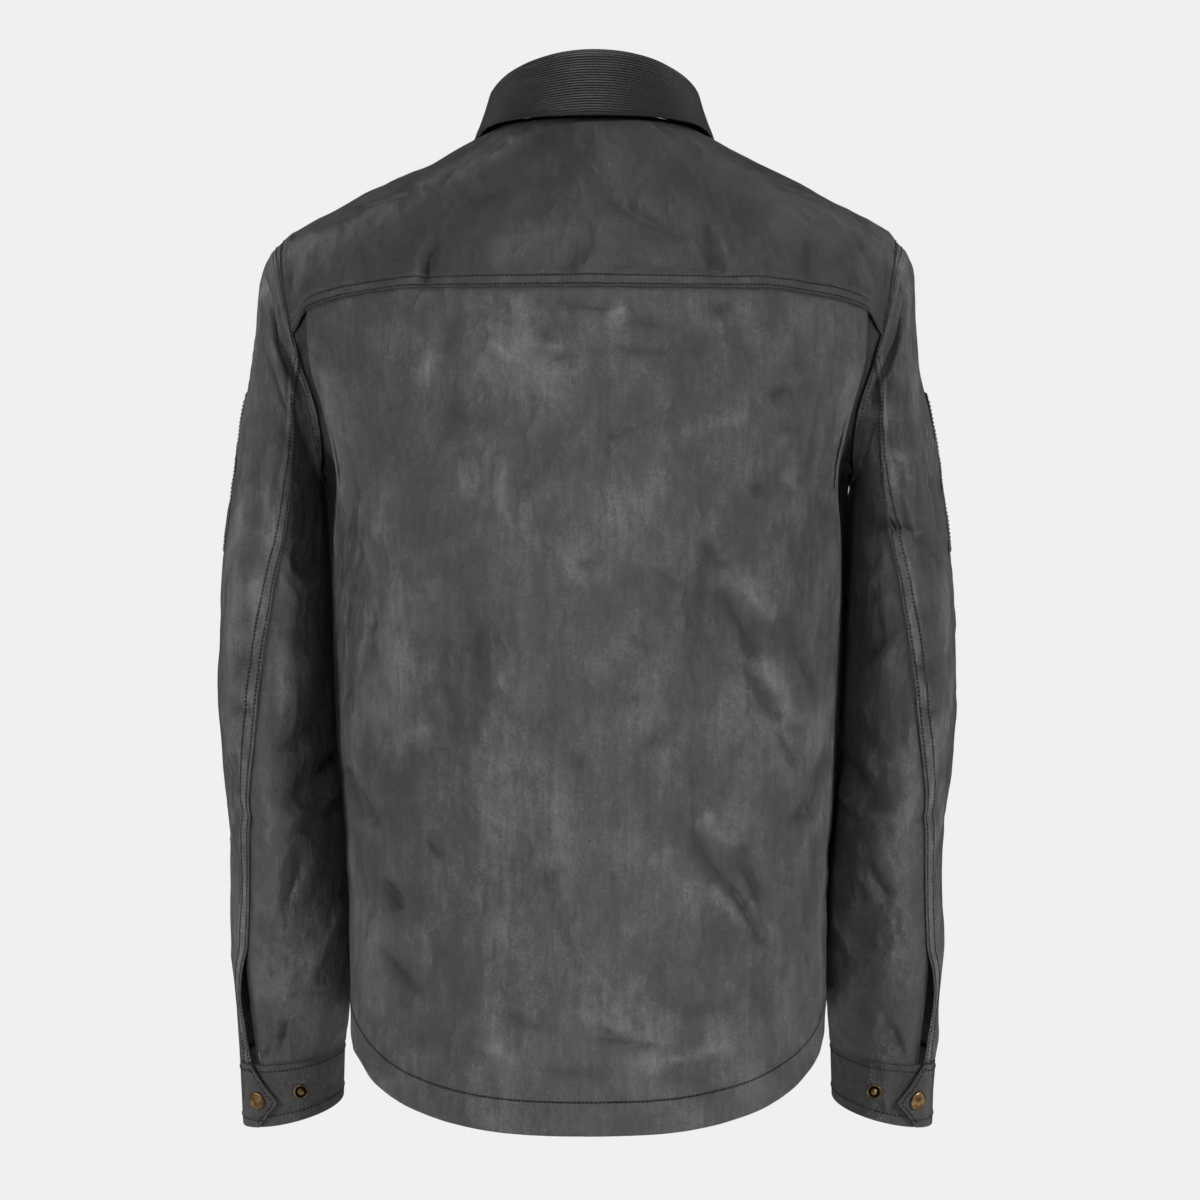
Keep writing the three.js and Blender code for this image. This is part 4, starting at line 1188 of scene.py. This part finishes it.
# Sleeves
LEFT_CREASES = sleeve_creases(
    [
        [101, 5.2, 125, 5.7, 4, 2],
        [95, 5.5, 118, 5.9, 4, 1.8],
        [57, 6.3, 86, 6.25, 4, -1.5],
        [55, 6.8, 83, 6.75, 4, -1.5],
        [50, 7.5, 77, 7.5, 4, -1.3],
        [106, 10.1, 90, 11.05, 5, -1.8],
        [77, 13.3, 65, 13.8, 4, -1.4],
        [91, 13, 80, 13.7, 4, -1.4],
        [150, 11.2, 108, 12.2, 6, 1.6],
        [40, 2.4, 96, 2.0, 7, -1.4],
        [140, 7.6, 92, 8.2, 6, -1.6],
    ]
)
RIGHT_CREASES = sleeve_creases(
    [
        [130, 4.25, 33, 5.75, 3.5, -3],
        [98, 5.15, 125, 5.6, 5, 2],
        [91, 6.2, 128, 6.65, 5, -1.8],
        [85, 6.2, 57, 6.25, 4, -1.5],
        [84, 6.85, 55, 6.9, 4, -1.5],
        [79, 7.5, 51, 7.55, 4, -1.3],
        [112, 10.2, 88, 10.9, 5, -1.8],
        [84, 13.1, 70, 13.8, 4, -1.4],
        [150, 11.4, 112, 12.1, 6, 1.6],
        [136, 7.7, 96, 8.3, 6, -1.6],
    ]
)
SLEEVE_STEPS = 190


def sleeve_piece(lines, creases):
    def place(u, v):
        return on_sleeve(*lines(u, v))

    def detail(points, u, v):
        angle, ring = lines(u, v)
        return CREASE_DEEP * crease_height(creases, np.mod(angle, 360) * ARC_MM, ring * RING_MM)

    return place, detail


for side_name, side in SIDES.items():
    creases = LEFT_CREASES if side > 0 else RIGHT_CREASES
    place, detail = sleeve_piece(top_sleeve_lines, creases)
    cloth(
        f"sleeve_top_{side_name}",
        place,
        (90, SLEEVE_STEPS),
        ("tuck", "lap", "tuck", "lap"),
        side=side,
        detail=detail,
        crumpled=1.4,
        rows=[("end", TWO[0], 0, 0.985), ("end", TWO[1], 0, 0.985), ("top", 5, 0.01, 0.985)],
        held="hung",
    )
    place, detail = sleeve_piece(under_sleeve_lines, creases)
    cloth(
        f"sleeve_under_{side_name}",
        place,
        (64, SLEEVE_STEPS),
        ("tuck", "open", "tuck", "lap"),
        side=side,
        detail=detail,
        crumpled=1.4,
        rows=[("top", 5, 0.015, 0.99)],
        held="hung",
    )
    cloth(
        f"cuff_{side_name}",
        cuff_place,
        (150, 24),
        ("open", "open", "open", "open"),
        side=side,
        thick=BAND,
        crumpled=0.35,
        round=0.7,
        material=YOKE_WAXED,
        rows=[("bottom", 5, 0, 1), ("top", 8, 0, 1), ("end", 4, 0.06, 0.94)],
        held="stretched",
    )


# Collar
def wales(points, u, v):
    """The corduroy's raised ribs, along the collar."""
    across = lengths(points, 1)[0]
    return 0.5 * np.abs(np.sin(np.pi * across / 2.0)) ** 0.6


cloth("collar_leaf", leaf_place, (110, 190), ("open",) * 4, thick=CORD, detail=wales, crumpled=0.45, material=CORDUROY, slot="corduroy", round=0.6)
cloth("collar_stand", stand_place, (110, 30), ("open",) * 4, thick=CORD, crumpled=0.2, material=CORDUROY, slot="corduroy")


# Press studs
def turned(name, profile, spots, recess=(0, 0)):
    """Round metal from a profile of (radius, height), set on the cloth; its recess, between two radii, is dark."""
    (point, normal), clear = spots
    bm = bmesh.new()
    line = [bm.verts.new((r, 0, h)) for r, h in profile]
    edges = [bm.edges.new(pair) for pair in zip(line, line[1:])]
    bmesh.ops.spin(
        bm, geom=line + edges, cent=(0, 0, 0), axis=(0, 0, 1), angle=2 * math.pi, steps=40, use_merge=True
    )
    bmesh.ops.remove_doubles(bm, verts=bm.verts, dist=0.01)
    bmesh.ops.recalc_face_normals(bm, faces=bm.faces)
    normal = Vector([float(n) for n in normal])
    spot = Vector([float(p) for p in point]) + normal * clear
    spot.x += float(askew(spot.z))
    turn = Vector((0, 0, 1)).rotation_difference(normal).to_matrix().to_4x4()
    bmesh.ops.transform(bm, matrix=Matrix.Diagonal((MM, MM, MM, 1)) @ Matrix.Translation(spot) @ turn, verts=bm.verts)
    for face in bm.faces:
        out = ((face.calc_center_median() - spot * MM) / MM).cross(normal).length
        face.material_index = int(recess[0] < out < recess[1])
    made = new_object(f"pressed_{name}", bm, BRASS)
    made.data.materials.append(TARNISHED)
    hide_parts(name)


CAP = [(0, 0), (SNAP_R - 0.5, 0), (SNAP_R - 0.1, 0.25), (SNAP_R, 0.7), (SNAP_R - 0.2, 1.2), (SNAP_R - 0.8, 1.6)]
CAP += [(SNAP_R - 1.6, 1.75), (SNAP_R - 2.2, 1.6), (SNAP_R - 2.8, 1.45), (2.5, 1.75), (0, 1.95)]
STUD = [(0, 0), (STUD_R - 0.3, 0), (STUD_R, 0.3), (STUD_R, 0.8), (STUD_R - 0.5, 1.2), (STUD_R - 1.0, 1.1)]
STUD += [(STUD_R - 1.6, 0.6), (2.3, 0.45), (1.8, 0.8), (1.85, 1.5), (2.25, 2.0), (2.1, 2.5), (1.2, 2.85), (0, 2.9)]


def spot_on(place, u, v, side=1):
    point, normal = place(np.array([[u]]), np.array([[v]]))
    return point[0, 0] * [side, 1, 1], normal[0, 0] * [side, 1, 1]


for i, (share, clear) in enumerate([(0.94, 1.2), (0.85, 0.4), (0.7, 0.3), (0.52, 0.3), (0.34, 0.3), (0.16, 0.3)]):
    turned(f"snap_cap_front_{i + 1}", CAP, (spot_on(placket_place, 0.5, share), clear + 0.6))
for side_name, side in SIDES.items():
    turned(f"snap_cap_cuff_{side_name}", CAP, (spot_on(cuff_place, 0.945, 0.56, side), 0.3))
    turned(f"snap_stud_cuff_{side_name}", STUD, (spot_on(cuff_place, 0.15, 0.5, side), 0.3), (2.2, 4.6))


# Floor, light and camera
FLOOR_Z = -1.15
bm = bmesh.new()
bmesh.ops.create_circle(bm, cap_ends=True, segments=96, radius=2.3)
bmesh.ops.translate(bm, vec=(0, 0, FLOOR_Z), verts=bm.verts)
mesh = bpy.data.meshes.new("floor")
bm.to_mesh(mesh)
bm.free()
floor = bpy.data.objects.new("floor", mesh)
bpy.context.scene.collection.objects.link(floor)
paper, paper_tree, paper_shader = material("matt_studio_paper", Base_Color=linear("e6e6e6"), Roughness=0.9)
mesh.materials.append(paper)

# The lamps light the room; what is seen behind the jacket is plain pale paper.
world = bpy.data.worlds.new("studio")
bpy.context.scene.world = world
world.use_nodes = True
sky = world.node_tree
up = node(sky, "ShaderNodeSeparateXYZ", {0: node(sky, "ShaderNodeTexCoord").outputs["Generated"]}).outputs["Z"]
room = ramp(sky, spread(sky, up, -1, 1), [(0.0, "1e1e1e"), (0.5, "2c2c2c"), (1.0, "3c3c3c")])
seen = node(sky, "ShaderNodeLightPath").outputs["Is Camera Ray"]
paper_sky = node(sky, "ShaderNodeMix", {0: seen, 6: room, 7: linear("f0f0f0")}, data_type="RGBA").outputs[2]
sky.links.new(paper_sky, sky.nodes["Background"].inputs["Color"])
sky.nodes["Background"].inputs["Strength"].default_value = 1.0


def soft_box(name, place, size, watts):
    """A square area light that points at the middle of the back."""
    data = bpy.data.lights.new(name, "AREA")
    data.shape = "SQUARE"
    data.size = size
    data.energy = watts
    lamp = bpy.data.objects.new(name, data)
    lamp.location = place
    lamp.rotation_euler = (Vector((0, 0, -0.35)) - Vector(place)).to_track_quat("-Z", "Y").to_euler()
    bpy.context.scene.collection.objects.link(lamp)


soft_box("right", (-2.6, 1.5, 0.6), 0.5, 104)
soft_box("left", (2.6, 1.5, 0.2), 0.5, 78)
soft_box("middle", (0.5, 2.9, 1.0), 0.6, 38)
soft_box("front_left", (1.9, -1.7, 1.3), 1.2, 10)
soft_box("front_right", (-1.9, -1.7, 1.3), 1.2, 10)

camera_data = bpy.data.cameras.new("camera")
camera_data.lens = 123.2
camera_data.sensor_width = 36
camera = bpy.data.objects.new("camera", camera_data)
camera.location = (-0.00913, 3.0, -0.3475)
camera.rotation_euler = (math.pi / 2, 0, math.pi)
bpy.context.scene.collection.objects.link(camera)
bpy.context.scene.camera = camera
bpy.context.scene.view_settings.view_transform = "Standard"

print("sheet sizes in mm, area in cm2:", SIZES)
